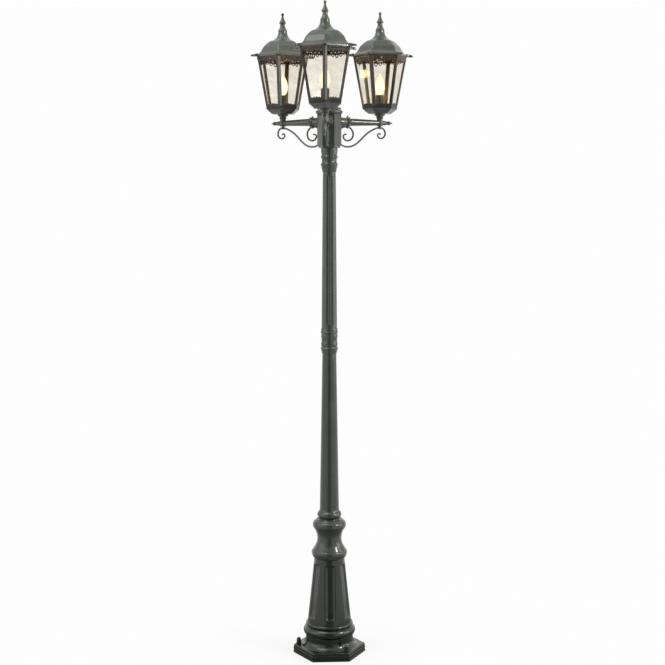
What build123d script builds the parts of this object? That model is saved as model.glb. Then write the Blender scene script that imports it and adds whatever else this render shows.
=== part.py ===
from build123d import *

import math
import os

# Triple head lamp post: cast post, hexagonal hub, three arms with scroll brackets, three hexagonal lanterns.
# Millimetres, +Z up. The origin is the post's axis on the ground. The foot has a flat side towards -Y.

COS30 = math.cos(math.radians(30))

# ---- clearances -------------------------------------------------------------------------------------
TURNING_GAP = 0.05  # radial, where a piece turns or slides on another
SOCKET_GAP = 0.1  # radial, between castings that plug together
LOOSE_GAP = 0.3  # between pieces that only come close

# ---- foot -------------------------------------------------------------------------------------------
FOOT_CORNER = 128.0  # axis to a corner of the hexagonal plate
PLATE_HEIGHT = 30.0
PLATE_CHAMFER = 2.5
PLATE_DECK = 6.0  # thickness of the plate's top
FOOT_WALL = 6.0
NECK_RADIUS = 82.8
NECK_HEIGHT = 38.0  # from the plate's top to the pedestal
FLARE_FOOT = 98.0  # radius where the neck's flare meets the plate
FLARE_HEIGHT = 27.0
ANCHOR_REACH = 108.0  # axis to an anchor hole, on every other corner
ANCHOR_HOLE = 5.5
ANCHOR_BOSS = 13.0
ANCHOR_COUNT = 3
CAP_NUT_FLATS = 16.0  # across the flats
CAP_NUT_HEIGHT = 24.0
CAP_NUT_SKIRT = 10.0  # height of the six-sided part
CAP_NUT_THREAD = 4.5

# ---- pedestal ---------------------------------------------------------------------------------------
PEDESTAL_HEIGHT = 273.0
PEDESTAL_WALL = 6.0
PEDESTAL_TOP_RADIUS = 53.0
PEDESTAL_BOTTOM_RADIUS = 76.3
TORUS_RADIUS = 90.8
TORUS_HEIGHT = 32.0
BEAD_RADIUS = 82.5
BEAD_HEIGHT = 13.0  # the small bead between the torus and the cone
PANEL_WIDTH = 39.0  # recessed panels round the cone
PANEL_DEPTH = 2.5
PANEL_COUNT = 6
PANEL_MARGIN_BOTTOM = 22.0
PANEL_MARGIN_TOP = 20.0
REGISTER_DEPTH = 6.0  # how far one casting's register ring reaches into the next

# ---- urn-shaped collar ------------------------------------------------------------------------------
URN_HEIGHT = 167.0
URN_LOWER_LOBE = 62.5
URN_WAIST = 42.8
URN_UPPER_LOBE = 57.6
URN_VALLEY = 37.8
URN_RING = 42.4
URN_WALL = 6.0

# ---- tubes and couplings ----------------------------------------------------------------------------
LOWER_TUBE_BOTTOM_RADIUS = 33.7
LOWER_TUBE_TOP_RADIUS = 24.4
LOWER_TUBE_SIGHT = 555.0  # length that shows between the collar and the coupling
UPPER_TUBE_BOTTOM_RADIUS = 26.7
UPPER_TUBE_TOP_RADIUS = 22.1
UPPER_TUBE_SIGHT = 534.0
TUBE_BORE = 17.0
SOCKET_DEPTH = 20.0
SOCKET_LIP = 1.4
COUPLING_HEIGHT = 87.0
COUPLING_RING = 30.2
COUPLING_WAIST = 27.3
FLUTE_COUNT = 12
FLUTE_RADIUS = 6.0
FLUTE_DEPTH = 2.0
FLUTE_MARGIN = 12.0  # plain tube left at each end of the flutes
TOP_COLLAR_HEIGHT = 81.0
TOP_COLLAR_RING = 29.8
TOP_COLLAR_WAIST = 25.5
TOP_COLLAR_NECK = 28.5
TOP_COLLAR_WEB = 6.0  # the cross wall that the tie rod pulls on
PIVOT_RADIUS = 24.0  # the spigot that the hub turns on
PIVOT_HEIGHT = 18.0

# ---- tie rod and wiring in the post -----------------------------------------------------------------
TIE_ROD_RADIUS = 4.0
TIE_ROD_END = 2.5  # thread past each nut
NUT_FLATS = 13.0
NUT_HEIGHT = 6.5
BRIDGE_WIDTH = 30.0
BRIDGE_THICKNESS = 6.0
BRIDGE_BEARING = 11.0  # how far each end lies under the plate's deck
TERMINAL_LENGTH = 36.0
TERMINAL_WIDTH = 20.0
TERMINAL_HEIGHT = 18.0
TERMINAL_REACH = 42.0
CABLE_RADIUS = 3.25
CABLE_OFFSET = 12.0  # cable's distance from the tie rod's axis
CABLE_HOLE = 4.0

# ---- hub --------------------------------------------------------------------------------------------
HEAD_TURN = -7.0  # degrees the head is set round from square with the foot
ARM_COUNT = 3
HUB_CORNER = 41.5
HUB_HEIGHT = 115.0
HUB_WALL = 4.0
HUB_FLOOR = 12.0
HUB_CHAMFER = 10.0
HUB_CHAMFER_INSET = 5.0
CAP_RIM = 46.0
CAP_CROWN = 30.0
CAP_HEIGHT = 34.0
GRUB_RADIUS = 3.0
JUNCTION_RISE = 35.0  # from the hub's bottom face to the junction block's strip
JUNCTION_LENGTH = 26.0
JUNCTION_WIDTH = 20.0
JUNCTION_HEIGHT = 16.0
STRIP_THICKNESS = 2.0

# ---- arms -------------------------------------------------------------------------------------------
ARM_REACH = 194.0  # post axis to lantern axis
ARM_RISE = 89.0  # arm's axis above the hub's bottom face
ARM_ROOT_RADIUS = 16.5
ARM_NEAR_RADIUS = 13.0
ARM_FAR_RADIUS = 8.8
ARM_BORE = 3.2
ARM_SPIGOT = 9.0
ARM_BOSS_RADIUS = 11.0
ARM_BOSS_RISE = 10.0  # arm's axis to the seat of the lantern
ARM_BOSS_DROP = 11.0
ARM_END_LENGTH = 16.0
ARM_END_RADIUS = 7.5
LEAF_COLLAR_REACH = 70.0
LEAF_COLLAR_LENGTH = 12.0
LEAF_COLLAR_RADIUS = 17.0
LEAF_TIP_RADIUS = 23.0
LEAF_COUNT = 8
LEAF_THICKNESS = 4.0
TIP_RADIUS = 7.0
TIP_LENGTH = 24.0
TIP_STUD = 3.0
LEAD_RADIUS = 2.5
LEAD_BEND = 6.0
LEAD_TURN_CAVITY = 7.2
NIPPLE_RADIUS = 5.0
NIPPLE_BORE = 3.2

# ---- scroll brackets --------------------------------------------------------------------------------
BAR_RADIUS = 3.2
CLIP_WIDTH = 11.0
S_DROP = 16.0  # arm's axis to the top of the S scroll's bar centre
S_BOTTOM_DROP = 83.5
S_EYE_RADIUS = 18.0
C_DROP = 19.6
C_HEIGHT = 47.0
C_REACH = 91.0

# ---- lantern ----------------------------------------------------------------------------------------
LANTERN_TURNS = (4.0, -18.0, -4.0)  # degrees each lantern is set round on its arm
CUP_HEIGHT = 21.0
CUP_FOOT_RADIUS = 10.0
CUP_RADIUS = 19.0
DISH_HEIGHT = 24.0
DISH_BOTTOM_CORNER = 41.0
DISH_WALL = 2.6
CAGE_HEIGHT = 170.0
CAGE_BOTTOM_CORNER = 61.5
CAGE_TOP_CORNER = 94.0
CAGE_WALL = 3.0
RIB_WIDTH = 8.7  # each of the two flanges at a corner
RAIL_DEPTH = 4.0
RAIL_WIDTH = 8.0
LEDGE_HEIGHT = 2.0  # the panes' ledge at the bottom
LEDGE_WIDTH = 7.0
FRINGE_DEPTH = 27.0
FRINGE_NOTCH = 13.0
UPSTAND_HEIGHT = 12.0
UPSTAND_NOTCH = 6.0
LOBES = 3
PANE_THICKNESS = 2.5
PANE_MARGIN = 2.0  # under the strap across the cage
HOLDER_RADIUS = 14.0
HOLDER_HEIGHT = 62.0
HOLDER_FLANGE_RADIUS = 18.0
HOLDER_FLANGE_HEIGHT = 5.0
NIPPLE_ENGAGEMENT = 13.0
LEAD_CHAMBER = 5.0  # room above the nipple where the lead's end is joined
BULB_CAP_RADIUS = 7.0
BULB_CAP_HEIGHT = 25.0
BULB_RADIUS = 17.5
BULB_GLASS_HEIGHT = 74.0
STRAP_WIDTH = 12.0
STRAP_THICKNESS = 3.0
STRAP_BOSS_RADIUS = 6.5
STRAP_BOSS_HEIGHT = 10.0

# ---- roof and finial --------------------------------------------------------------------------------
EAVE_FLAT = 82.7  # axis to the middle of an eave's side
EAVE_LIP = 6.0
EAVE_SEAT = 6.5  # how far the lip reaches in over the cage's top rail
ROOF_HEIGHT = 89.0
ROOF_WALL = 3.0
ROOF_CROWN_RADIUS = 15.5
EAR_LENGTH = 21.0
EAR_WIDTH = 15.0
EAR_THICKNESS = 8.0
EAR_HOLE = 3.0
FINIAL_HEIGHT = 62.0
FINIAL_FLANGE = 15.5
FINIAL_BELL = 12.2
FINIAL_NECK = 8.6
FINIAL_BALL = 5.4
STUD_RADIUS = 3.0
STUD_HEAD_CORNER = 5.8
STUD_HEAD_HEIGHT = 3.0
STUD_IN_FINIAL = 15.0
FINIAL_HOLE_DEPTH = 18.0

# ---- levels that follow from the sizes above --------------------------------------------------------
pedestal_base = PLATE_HEIGHT + NECK_HEIGHT
urn_base = pedestal_base + PEDESTAL_HEIGHT
lower_sight_base = urn_base + URN_HEIGHT
coupling_base = lower_sight_base + LOWER_TUBE_SIGHT
upper_sight_base = coupling_base + COUPLING_HEIGHT
top_collar_base = upper_sight_base + UPPER_TUBE_SIGHT
hub_base = top_collar_base + TOP_COLLAR_HEIGHT
hub_top = hub_base + HUB_HEIGHT
arm_z = hub_base + ARM_RISE
cup_base = arm_z + ARM_BOSS_RISE
dish_base = cup_base + CUP_HEIGHT
cage_base = dish_base + DISH_HEIGHT
cage_top = cage_base + CAGE_HEIGHT
roof_top = cage_top + ROOF_HEIGHT

hub_flat = HUB_CORNER * COS30
hub_inside = hub_flat - HUB_WALL
neck_bore = NECK_RADIUS - FOOT_WALL
deck_z = PLATE_HEIGHT - PLATE_DECK
bridge_base = deck_z - BRIDGE_THICKNESS
web_base = hub_base - TOP_COLLAR_WEB
dish_floor = dish_base + DISH_WALL
holder_top = dish_floor + HOLDER_HEIGHT
bulb_seat = holder_top - BULB_CAP_HEIGHT
strip_base = hub_base + JUNCTION_RISE
strap_top = cage_top - RAIL_DEPTH
face_tilt = math.degrees(math.atan2((CAGE_TOP_CORNER - CAGE_BOTTOM_CORNER) * COS30, CAGE_HEIGHT))
face_length = CAGE_HEIGHT / math.cos(math.radians(face_tilt))


# ---- shared shapes ----------------------------------------------------------------------------------
def outline(start, *steps):
    """A closed face. A step is the next point, or a pair of points: an arc's middle and its end."""
    edges = []
    here = start
    for step in steps:
        if isinstance(step[0], tuple):
            middle, end = step
            edges.append(ThreePointArc(here, middle, end))
        else:
            end = step
            edges.append(Line(here, end))
        here = end
    edges.append(Line(here, start))
    return make_face(edges)


def turned(face):
    """A face of (radius, height) spun round the Z axis."""
    return revolve(Plane.XZ * face, Axis.Z)


def turned_along_x(face):
    """A face of (distance out, radius) spun round the X axis."""
    return revolve(Plane.XZ * face, Axis.X)


def hexagonal(face, reach):
    """A solid that is a hexagon at every height: a face of (half width across the flats, height)."""
    half = Plane.XZ * face
    slab = extrude(half + mirror(half, Plane.YZ), reach, both=True)
    crossed = slab & (Rot(0, 0, 60) * slab) & (Rot(0, 0, 120) * slab)
    return Rot(0, 0, 30) * crossed


def around(shape, count, start=0.0):
    """Copies of a shape, evenly spaced round the Z axis."""
    return [Rot(0, 0, start + 360 / count * i) * shape for i in range(count)]


def at_height(shape, z):
    return Pos(0, 0, z) * shape


def dome(radius, base, top):
    """The arc step from (radius, base) to (0, top), its centre on the axis."""
    rise = top - base
    sphere = (radius**2 + rise**2) / (2 * rise)
    half_angle = math.atan2(radius, sphere - rise) / 2
    middle = (sphere * math.sin(half_angle), top - sphere + sphere * math.cos(half_angle))
    return middle, (0, top)


def rod(radius, z0, z1):
    return at_height(Cylinder(radius, z1 - z0, align=(Align.CENTER, Align.CENTER, Align.MIN)), z0)


def hex_nut(flats, height, bore):
    blank = extrude(RegularPolygon(flats / 2, 6, major_radius=False), height)
    return blank - rod(bore, 0, height)


def pedestal_radius(z):
    """Outer radius of the pedestal's cone at a height."""
    cone_base = pedestal_base + TORUS_HEIGHT + BEAD_HEIGHT
    share = (z - cone_base) / (urn_base - cone_base)
    return PEDESTAL_BOTTOM_RADIUS + (PEDESTAL_TOP_RADIUS - PEDESTAL_BOTTOM_RADIUS) * share


# ---- post -------------------------------------------------------------------------------------------
def base_foot():
    """Hexagonal plate, hollow underneath, with a flared neck and three anchor bosses."""
    plate = extrude(RegularPolygon(FOOT_CORNER, 6), PLATE_HEIGHT)
    plate = chamfer(plate.faces().sort_by(Axis.Z)[-1].edges(), PLATE_CHAMFER)
    flare_top = PLATE_HEIGHT + FLARE_HEIGHT
    flare_middle = (NECK_RADIUS + 3.5, PLATE_HEIGHT + 0.35 * FLARE_HEIGHT)
    neck = turned(
        outline(
            (0, deck_z),
            (FLARE_FOOT, deck_z),
            (FLARE_FOOT, PLATE_HEIGHT),
            (flare_middle, (NECK_RADIUS, flare_top)),
            (NECK_RADIUS, pedestal_base),
            (0, pedestal_base),
        )
    )
    hollow = extrude(RegularPolygon(FOOT_CORNER - FOOT_WALL / COS30, 6), deck_z)
    foot = plate + neck - hollow - rod(neck_bore, deck_z, pedestal_base)
    boss = Pos(ANCHOR_REACH, 0, 0) * rod(ANCHOR_BOSS, 0, deck_z)
    hole = Pos(ANCHOR_REACH, 0, 0) * rod(ANCHOR_HOLE, 0, PLATE_HEIGHT)
    foot += around(boss, ANCHOR_COUNT, 60)
    foot -= around(hole, ANCHOR_COUNT, 60)
    return foot


def anchor_nuts():
    """Domed cap nuts that stand on the plate over the anchor holes."""
    dome_radius = CAP_NUT_FLATS / 2 - 1
    skirt = extrude(RegularPolygon(CAP_NUT_FLATS / 2, 6, major_radius=False), CAP_NUT_SKIRT)
    cap = turned(
        outline(
            (0, CAP_NUT_SKIRT),
            (dome_radius, CAP_NUT_SKIRT),
            (dome_radius, CAP_NUT_HEIGHT - dome_radius),
            dome(dome_radius, CAP_NUT_HEIGHT - dome_radius, CAP_NUT_HEIGHT),
        )
    )
    nut = skirt + cap - rod(CAP_NUT_THREAD, 0, CAP_NUT_SKIRT + 4)
    return around(Pos(ANCHOR_REACH, 0, PLATE_HEIGHT) * nut, ANCHOR_COUNT, 60)


def pedestal():
    """Torus, bead and a hollow cone with six recessed panels."""
    torus_top = pedestal_base + TORUS_HEIGHT
    cone_base = torus_top + BEAD_HEIGHT
    register = neck_bore - SOCKET_GAP
    inner_bottom = register - PEDESTAL_WALL
    outer = turned(
        outline(
            (0, pedestal_base - REGISTER_DEPTH),
            (register, pedestal_base - REGISTER_DEPTH),
            (register, pedestal_base),
            (NECK_RADIUS, pedestal_base),
            ((TORUS_RADIUS, pedestal_base + TORUS_HEIGHT / 2), (BEAD_RADIUS - 4, torus_top)),
            ((BEAD_RADIUS, torus_top + BEAD_HEIGHT / 2), (PEDESTAL_BOTTOM_RADIUS, cone_base)),
            (PEDESTAL_TOP_RADIUS, urn_base),
            (0, urn_base),
        )
    )
    inner = turned(
        outline(
            (0, pedestal_base - REGISTER_DEPTH),
            (inner_bottom, pedestal_base - REGISTER_DEPTH),
            (inner_bottom, torus_top),
            (PEDESTAL_TOP_RADIUS - PEDESTAL_WALL, urn_base),
            (0, urn_base),
        )
    )
    body = outer - inner
    panel_base = cone_base + PANEL_MARGIN_BOTTOM
    panel_top = urn_base - PANEL_MARGIN_TOP
    band = turned(
        outline(
            (pedestal_radius(panel_base) - PANEL_DEPTH, panel_base),
            (TORUS_RADIUS, panel_base),
            (TORUS_RADIUS, panel_top),
            (pedestal_radius(panel_top) - PANEL_DEPTH, panel_top),
        )
    )
    window = Pos(TORUS_RADIUS, 0, urn_base / 2) * Box(2 * TORUS_RADIUS, PANEL_WIDTH, urn_base)
    for turn in around(window, PANEL_COUNT, 30):
        body -= band & turn
    return body


def urn_collar():
    """Turned collar: lower lobe with a bead, waist, upper lobe, valley and the ring that holds the tube."""
    z = urn_base
    lower = z + 0.145 * URN_HEIGHT
    waist = z + 0.43 * URN_HEIGHT
    upper = z + 0.70 * URN_HEIGHT
    shoulder = z + 0.82 * URN_HEIGHT
    valley = z + 0.86 * URN_HEIGHT
    ring = z + 0.945 * URN_HEIGHT
    register = PEDESTAL_TOP_RADIUS - PEDESTAL_WALL - SOCKET_GAP
    socket = LOWER_TUBE_BOTTOM_RADIUS + SOCKET_GAP
    seat = lower_sight_base - SOCKET_DEPTH
    bore = socket - 4
    outer = outline(
        (bore, z - REGISTER_DEPTH),
        (register, z - REGISTER_DEPTH),
        (register, z),
        (PEDESTAL_TOP_RADIUS + 1, z),
        ((URN_LOWER_LOBE - 4, z + 0.06 * URN_HEIGHT), (URN_LOWER_LOBE, lower)),
        (URN_LOWER_LOBE - 3.5, lower + 7),
        ((URN_WAIST + 3.2, waist - 0.11 * URN_HEIGHT), (URN_WAIST, waist)),
        ((URN_WAIST + 5, waist + 0.13 * URN_HEIGHT), (URN_UPPER_LOBE - 2, upper - 9)),
        ((URN_UPPER_LOBE, upper), (URN_UPPER_LOBE - 5, upper + 14)),
        (URN_VALLEY + 5, shoulder),
        (URN_VALLEY, valley),
        (URN_RING, ring),
        (socket + SOCKET_LIP, lower_sight_base),
        (socket, lower_sight_base),
        (socket, seat),
        (bore, seat),
    )
    return turned(outer)


def lower_tube():
    """Plain conical tube, both ends in sockets."""
    slope = (LOWER_TUBE_TOP_RADIUS - LOWER_TUBE_BOTTOM_RADIUS) / LOWER_TUBE_SIGHT
    start = lower_sight_base - SOCKET_DEPTH
    end = coupling_base + SOCKET_DEPTH
    return turned(
        outline(
            (TUBE_BORE + 3, start),
            (LOWER_TUBE_BOTTOM_RADIUS, start),
            (LOWER_TUBE_BOTTOM_RADIUS, lower_sight_base),
            (LOWER_TUBE_BOTTOM_RADIUS + slope * LOWER_TUBE_SIGHT, coupling_base),
            (LOWER_TUBE_TOP_RADIUS, end),
            (TUBE_BORE + 3, end),
        )
    )


def mid_coupling():
    """Two pairs of rings with a waist between them, and a socket at each end."""
    z = coupling_base
    lower_socket = LOWER_TUBE_TOP_RADIUS + SOCKET_GAP
    upper_socket = UPPER_TUBE_BOTTOM_RADIUS + SOCKET_GAP
    rings = [0.20, 0.36, 0.68, 0.84]
    lower_ring, lower_bead, upper_bead, upper_ring = [z + share * COUPLING_HEIGHT for share in rings]
    waist = z + 0.52 * COUPLING_HEIGHT
    valley = COUPLING_WAIST
    return turned(
        outline(
            (TUBE_BORE + 2, z + SOCKET_DEPTH),
            (lower_socket, z + SOCKET_DEPTH),
            (lower_socket, z),
            (lower_socket + SOCKET_LIP, z),
            (COUPLING_RING - 1.5, lower_ring - 4),
            ((COUPLING_RING, lower_ring), (COUPLING_RING - 1.5, lower_ring + 2.5)),
            (valley, lower_ring + 6),
            (COUPLING_RING - 1, lower_bead),
            ((COUPLING_WAIST, waist), (COUPLING_RING - 1, upper_bead)),
            (valley, upper_ring - 6),
            (COUPLING_RING - 1.5, upper_ring - 2.5),
            ((COUPLING_RING, upper_ring), (COUPLING_RING - 1.5, upper_ring + 3)),
            (upper_socket + SOCKET_LIP, upper_sight_base),
            (upper_socket, upper_sight_base),
            (upper_socket, upper_sight_base - SOCKET_DEPTH),
            (TUBE_BORE + 2, upper_sight_base - SOCKET_DEPTH),
        )
    )


def upper_tube():
    """Conical tube with round-ended flutes."""
    start = upper_sight_base - SOCKET_DEPTH
    end = top_collar_base + SOCKET_DEPTH
    tube = turned(
        outline(
            (TUBE_BORE, start),
            (UPPER_TUBE_BOTTOM_RADIUS, start),
            (UPPER_TUBE_BOTTOM_RADIUS, upper_sight_base),
            (UPPER_TUBE_TOP_RADIUS, top_collar_base),
            (UPPER_TUBE_TOP_RADIUS, end),
            (TUBE_BORE, end),
        )
    )
    slope = (UPPER_TUBE_BOTTOM_RADIUS - UPPER_TUBE_TOP_RADIUS) / UPPER_TUBE_SIGHT
    margin = FLUTE_MARGIN + FLUTE_RADIUS
    low = upper_sight_base + margin
    high = top_collar_base - margin
    stand_off = FLUTE_RADIUS - FLUTE_DEPTH
    foot = (UPPER_TUBE_BOTTOM_RADIUS - slope * margin + stand_off, 0, low)
    head = (UPPER_TUBE_TOP_RADIUS + slope * margin + stand_off, 0, high)
    run = Edge.make_line(foot, head)
    bar = sweep(Plane(origin=foot, z_dir=run % 0) * Circle(FLUTE_RADIUS), path=run)
    cutter = bar + Pos(*foot) * Sphere(FLUTE_RADIUS) + Pos(*head) * Sphere(FLUTE_RADIUS)
    for flute in around(cutter, FLUTE_COUNT, 180 / FLUTE_COUNT):
        tube -= flute
    return tube


def top_collar():
    """Ringed neck: socket for the tube, cross wall for the tie rod, and the pivot that the hub turns on."""
    z = top_collar_base
    socket = UPPER_TUBE_TOP_RADIUS + SOCKET_GAP
    seat = z + SOCKET_DEPTH
    lower_ring = z + 0.32 * TOP_COLLAR_HEIGHT
    waist = z + 0.47 * TOP_COLLAR_HEIGHT
    upper_ring = z + 0.63 * TOP_COLLAR_HEIGHT
    body = turned(
        outline(
            (TUBE_BORE, seat),
            (socket, seat),
            (socket, z),
            (socket + SOCKET_LIP, z),
            (TOP_COLLAR_RING - 1.5, lower_ring - 3),
            ((TOP_COLLAR_RING, lower_ring), (TOP_COLLAR_RING - 2, lower_ring + 3)),
            ((TOP_COLLAR_WAIST, waist), (TOP_COLLAR_RING - 2, upper_ring - 3)),
            ((TOP_COLLAR_RING, upper_ring), (TOP_COLLAR_RING - 1.5, upper_ring + 3)),
            (TOP_COLLAR_WAIST + 1, upper_ring + 7),
            (TOP_COLLAR_NECK, hub_base - 12),
            (TOP_COLLAR_NECK, hub_base),
            (PIVOT_RADIUS, hub_base),
            (PIVOT_RADIUS, hub_base + PIVOT_HEIGHT),
            (TUBE_BORE, hub_base + PIVOT_HEIGHT),
        )
    )
    web = rod(TUBE_BORE, web_base, hub_base)
    web -= rod(TIE_ROD_RADIUS + SOCKET_GAP, web_base, hub_base)
    web -= Pos(CABLE_OFFSET, 0, 0) * rod(CABLE_HOLE, web_base, hub_base)
    return body + web


def tie_rod():
    start = bridge_base - NUT_HEIGHT - TIE_ROD_END
    end = hub_base + NUT_HEIGHT + TIE_ROD_END
    return rod(TIE_ROD_RADIUS, start, end)


def tie_rod_nuts():
    nut = hex_nut(NUT_FLATS, NUT_HEIGHT, TIE_ROD_RADIUS)
    return [at_height(nut, bridge_base - NUT_HEIGHT), at_height(nut, hub_base)]


def tie_rod_bridge():
    """Flat bar under the foot's deck that the tie rod pulls up against."""
    length = 2 * (neck_bore + BRIDGE_BEARING)
    bar = Pos(0, 0, bridge_base + BRIDGE_THICKNESS / 2) * Box(length, BRIDGE_WIDTH, BRIDGE_THICKNESS)
    return bar - rod(TIE_ROD_RADIUS + SOCKET_GAP, bridge_base, deck_z)


def terminal_block():
    """Insulated block with three clamp towers, on the bridge."""
    body = Box(TERMINAL_LENGTH, TERMINAL_WIDTH, TERMINAL_HEIGHT * 0.6, align=(Align.CENTER, Align.CENTER, Align.MIN))
    tower = Cylinder(TERMINAL_LENGTH / 8, TERMINAL_HEIGHT, align=(Align.CENTER, Align.CENTER, Align.MIN))
    for step in (-1, 0, 1):
        body += Pos(step * TERMINAL_LENGTH / 3.2, 0, 0) * tower
    return Pos(TERMINAL_REACH, 0, deck_z) * body


def cord(points, radii, radius):
    """A round cord along straight runs joined by tangent arcs."""
    path = FilletPolyline(*points, radius=radii)
    return sweep(Plane(origin=path @ 0, z_dir=path % 0) * Circle(radius), path=path)


def largest_radii(points, limit):
    """For each corner, 0.45 of the shorter run over the tangent of half the turn, up to a limit."""
    radii = []
    for before, corner, after in zip(points, points[1:], points[2:]):
        run_in = Vector(*corner) - Vector(*before)
        run_out = Vector(*after) - Vector(*corner)
        half_turn = math.radians(run_in.get_angle(run_out)) / 2
        radii.append(min(limit, 0.45 * min(run_in.length, run_out.length) / math.tan(half_turn)))
    return radii


def supply_cable():
    """From the terminal block up beside the tie rod, then over to the axis under the junction block."""
    clear_of_nut = hub_base + NUT_HEIGHT + TIE_ROD_END + CABLE_RADIUS
    points = [
        (TERMINAL_REACH, 0, deck_z + TERMINAL_HEIGHT),
        (TERMINAL_REACH, 0, urn_base * 0.3),
        (CABLE_OFFSET, 0, urn_base * 0.65),
        (CABLE_OFFSET, 0, clear_of_nut - CABLE_RADIUS),
        (0, 0, strip_base - 3 * CABLE_RADIUS),
        (0, 0, strip_base),
    ]
    radii = largest_radii(points, 40 * CABLE_RADIUS)
    print("supply cable radii", [round(r, 1) for r in radii])
    return cord(points, radii, CABLE_RADIUS)


# ---- head -------------------------------------------------------------------------------------------
def hub():
    """Hexagonal hollow casting with a flat side behind each arm."""
    outer = outline(
        (0, hub_base),
        (hub_flat - HUB_CHAMFER_INSET, hub_base),
        (hub_flat, hub_base + HUB_CHAMFER),
        (hub_flat, hub_top),
        (0, hub_top),
    )
    inner = outline((0, hub_base + HUB_FLOOR), (hub_inside, hub_base + HUB_FLOOR), (hub_inside, hub_top), (0, hub_top))
    shell = hexagonal(outer, 2 * HUB_CORNER) - hexagonal(inner, 2 * HUB_CORNER)
    shell = Rot(0, 0, 30) * shell
    shell -= rod(PIVOT_RADIUS + TURNING_GAP, hub_base, hub_base + HUB_FLOOR)
    arm_hole = Pos(hub_flat, 0, arm_z) * Rot(0, 90, 0) * Cylinder(ARM_SPIGOT + TURNING_GAP, 4 * HUB_WALL)
    grub_hole = Pos(hub_flat, 0, hub_base + HUB_FLOOR / 2) * Rot(0, 90, 0) * Cylinder(GRUB_RADIUS, HUB_CORNER)
    for cutter in around(arm_hole, ARM_COUNT) + around(grub_hole, ARM_COUNT, 60):
        shell -= cutter
    return shell


def hub_cap():
    """Lid with a moulded rim and a low crown, its register inside the hub."""
    z = hub_top
    return turned(
        outline(
            (0, z - REGISTER_DEPTH),
            (hub_inside - SOCKET_GAP, z - REGISTER_DEPTH),
            (hub_inside - SOCKET_GAP, z),
            (CAP_RIM - 3, z),
            (CAP_RIM, z + 4),
            (CAP_RIM, z + 9),
            ((CAP_RIM - 4.5, z + 13), (CAP_RIM - 6, z + 20)),
            (CAP_CROWN, z + 23),
            dome(CAP_CROWN, z + 23, z + CAP_HEIGHT),
        )
    )


def hub_grub_screws():
    """Three screws that lock the hub to its pivot, drawn back by a hair."""
    tip = PIVOT_RADIUS + LOOSE_GAP
    length = hub_flat - HUB_CHAMFER_INSET / 2 - tip
    screw = Rot(0, 90, 0) * Cylinder(GRUB_RADIUS, length, align=(Align.CENTER, Align.CENTER, Align.MIN))
    return around(Pos(tip, 0, hub_base + HUB_FLOOR / 2) * screw, ARM_COUNT, 60)


def junction_block():
    """Insulated block on a strip that spans the hub from wall to wall, behind the arms' line."""
    strip = Box(2 * hub_inside, JUNCTION_WIDTH * 0.7, STRIP_THICKNESS, align=(Align.CENTER, Align.CENTER, Align.MIN))
    block = Box(JUNCTION_LENGTH, JUNCTION_WIDTH, JUNCTION_HEIGHT, align=(Align.CENTER, Align.CENTER, Align.MIN))
    return at_height(strip, strip_base) + at_height(block, strip_base + STRIP_THICKNESS)


def arm_solid():
    """The arm's outside, along +X: root, collar seat, cone, boss under the lantern and end."""
    collar_start = LEAF_COLLAR_REACH - LEAF_COLLAR_LENGTH / 2
    collar_end = LEAF_COLLAR_REACH + LEAF_COLLAR_LENGTH / 2
    end = ARM_REACH + ARM_BOSS_RADIUS + ARM_END_LENGTH
    cone = turned_along_x(
        outline(
            (hub_inside - 3, 0),
            (hub_inside - 3, ARM_SPIGOT),
            (hub_flat, ARM_SPIGOT),
            (hub_flat, ARM_ROOT_RADIUS),
            (collar_start, ARM_NEAR_RADIUS + 1.5),
            (collar_start, ARM_NEAR_RADIUS),
            (collar_end, ARM_NEAR_RADIUS),
            (ARM_REACH, ARM_FAR_RADIUS),
            (end - 3, ARM_END_RADIUS),
            (end, ARM_END_RADIUS - 2),
            (end, 0),
        )
    )
    boss = Pos(ARM_REACH, 0, 0) * rod(ARM_BOSS_RADIUS, -ARM_BOSS_DROP, ARM_BOSS_RISE)
    return at_height(cone + boss, arm_z)


def arm():
    """The arm with its wire bore, the cavity where the lead turns up, and the nipple's and the tip's holes."""
    length = ARM_REACH - hub_inside + 3
    bore = Rot(0, 90, 0) * Cylinder(ARM_BORE, length, align=(Align.CENTER, Align.CENTER, Align.MIN))
    body = arm_solid() - Pos(hub_inside - 3, 0, arm_z) * bore
    body -= Pos(ARM_REACH - LEAD_BEND / 2, 0, arm_z + 2) * Sphere(LEAD_TURN_CAVITY)
    body -= Pos(ARM_REACH, 0, 0) * rod(NIPPLE_RADIUS, arm_z + 2, cup_base)
    end = ARM_REACH + ARM_BOSS_RADIUS + ARM_END_LENGTH
    thread = Rot(0, -90, 0) * Cylinder(TIP_STUD, ARM_END_LENGTH, align=(Align.CENTER, Align.CENTER, Align.MIN))
    return body - Pos(end, 0, arm_z) * thread


def arm_collar():
    """Ring of pointed leaves that hides the arm's root."""
    ring = turned_along_x(
        outline(
            (-LEAF_COLLAR_LENGTH / 2, ARM_NEAR_RADIUS),
            (-LEAF_COLLAR_LENGTH / 2, LEAF_COLLAR_RADIUS - 1.5),
            (-LEAF_THICKNESS / 2, LEAF_COLLAR_RADIUS),
            (LEAF_THICKNESS / 2, LEAF_COLLAR_RADIUS),
            (LEAF_COLLAR_LENGTH / 2, LEAF_COLLAR_RADIUS - 2.5),
            (LEAF_COLLAR_LENGTH / 2, ARM_NEAR_RADIUS),
        )
    )
    points = []
    for i in range(2 * LEAF_COUNT):
        reach = LEAF_TIP_RADIUS if i % 2 == 0 else LEAF_COLLAR_RADIUS - 1
        angle = math.pi * i / LEAF_COUNT
        points.append((reach * math.sin(angle), reach * math.cos(angle)))
    star = Plane.YZ * (make_face(Polyline(*points, close=True)) - Circle(ARM_NEAR_RADIUS))
    leaves = extrude(star, LEAF_THICKNESS / 2, both=True)
    return Pos(LEAF_COLLAR_REACH, 0, arm_z) * (ring + leaves)


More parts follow.
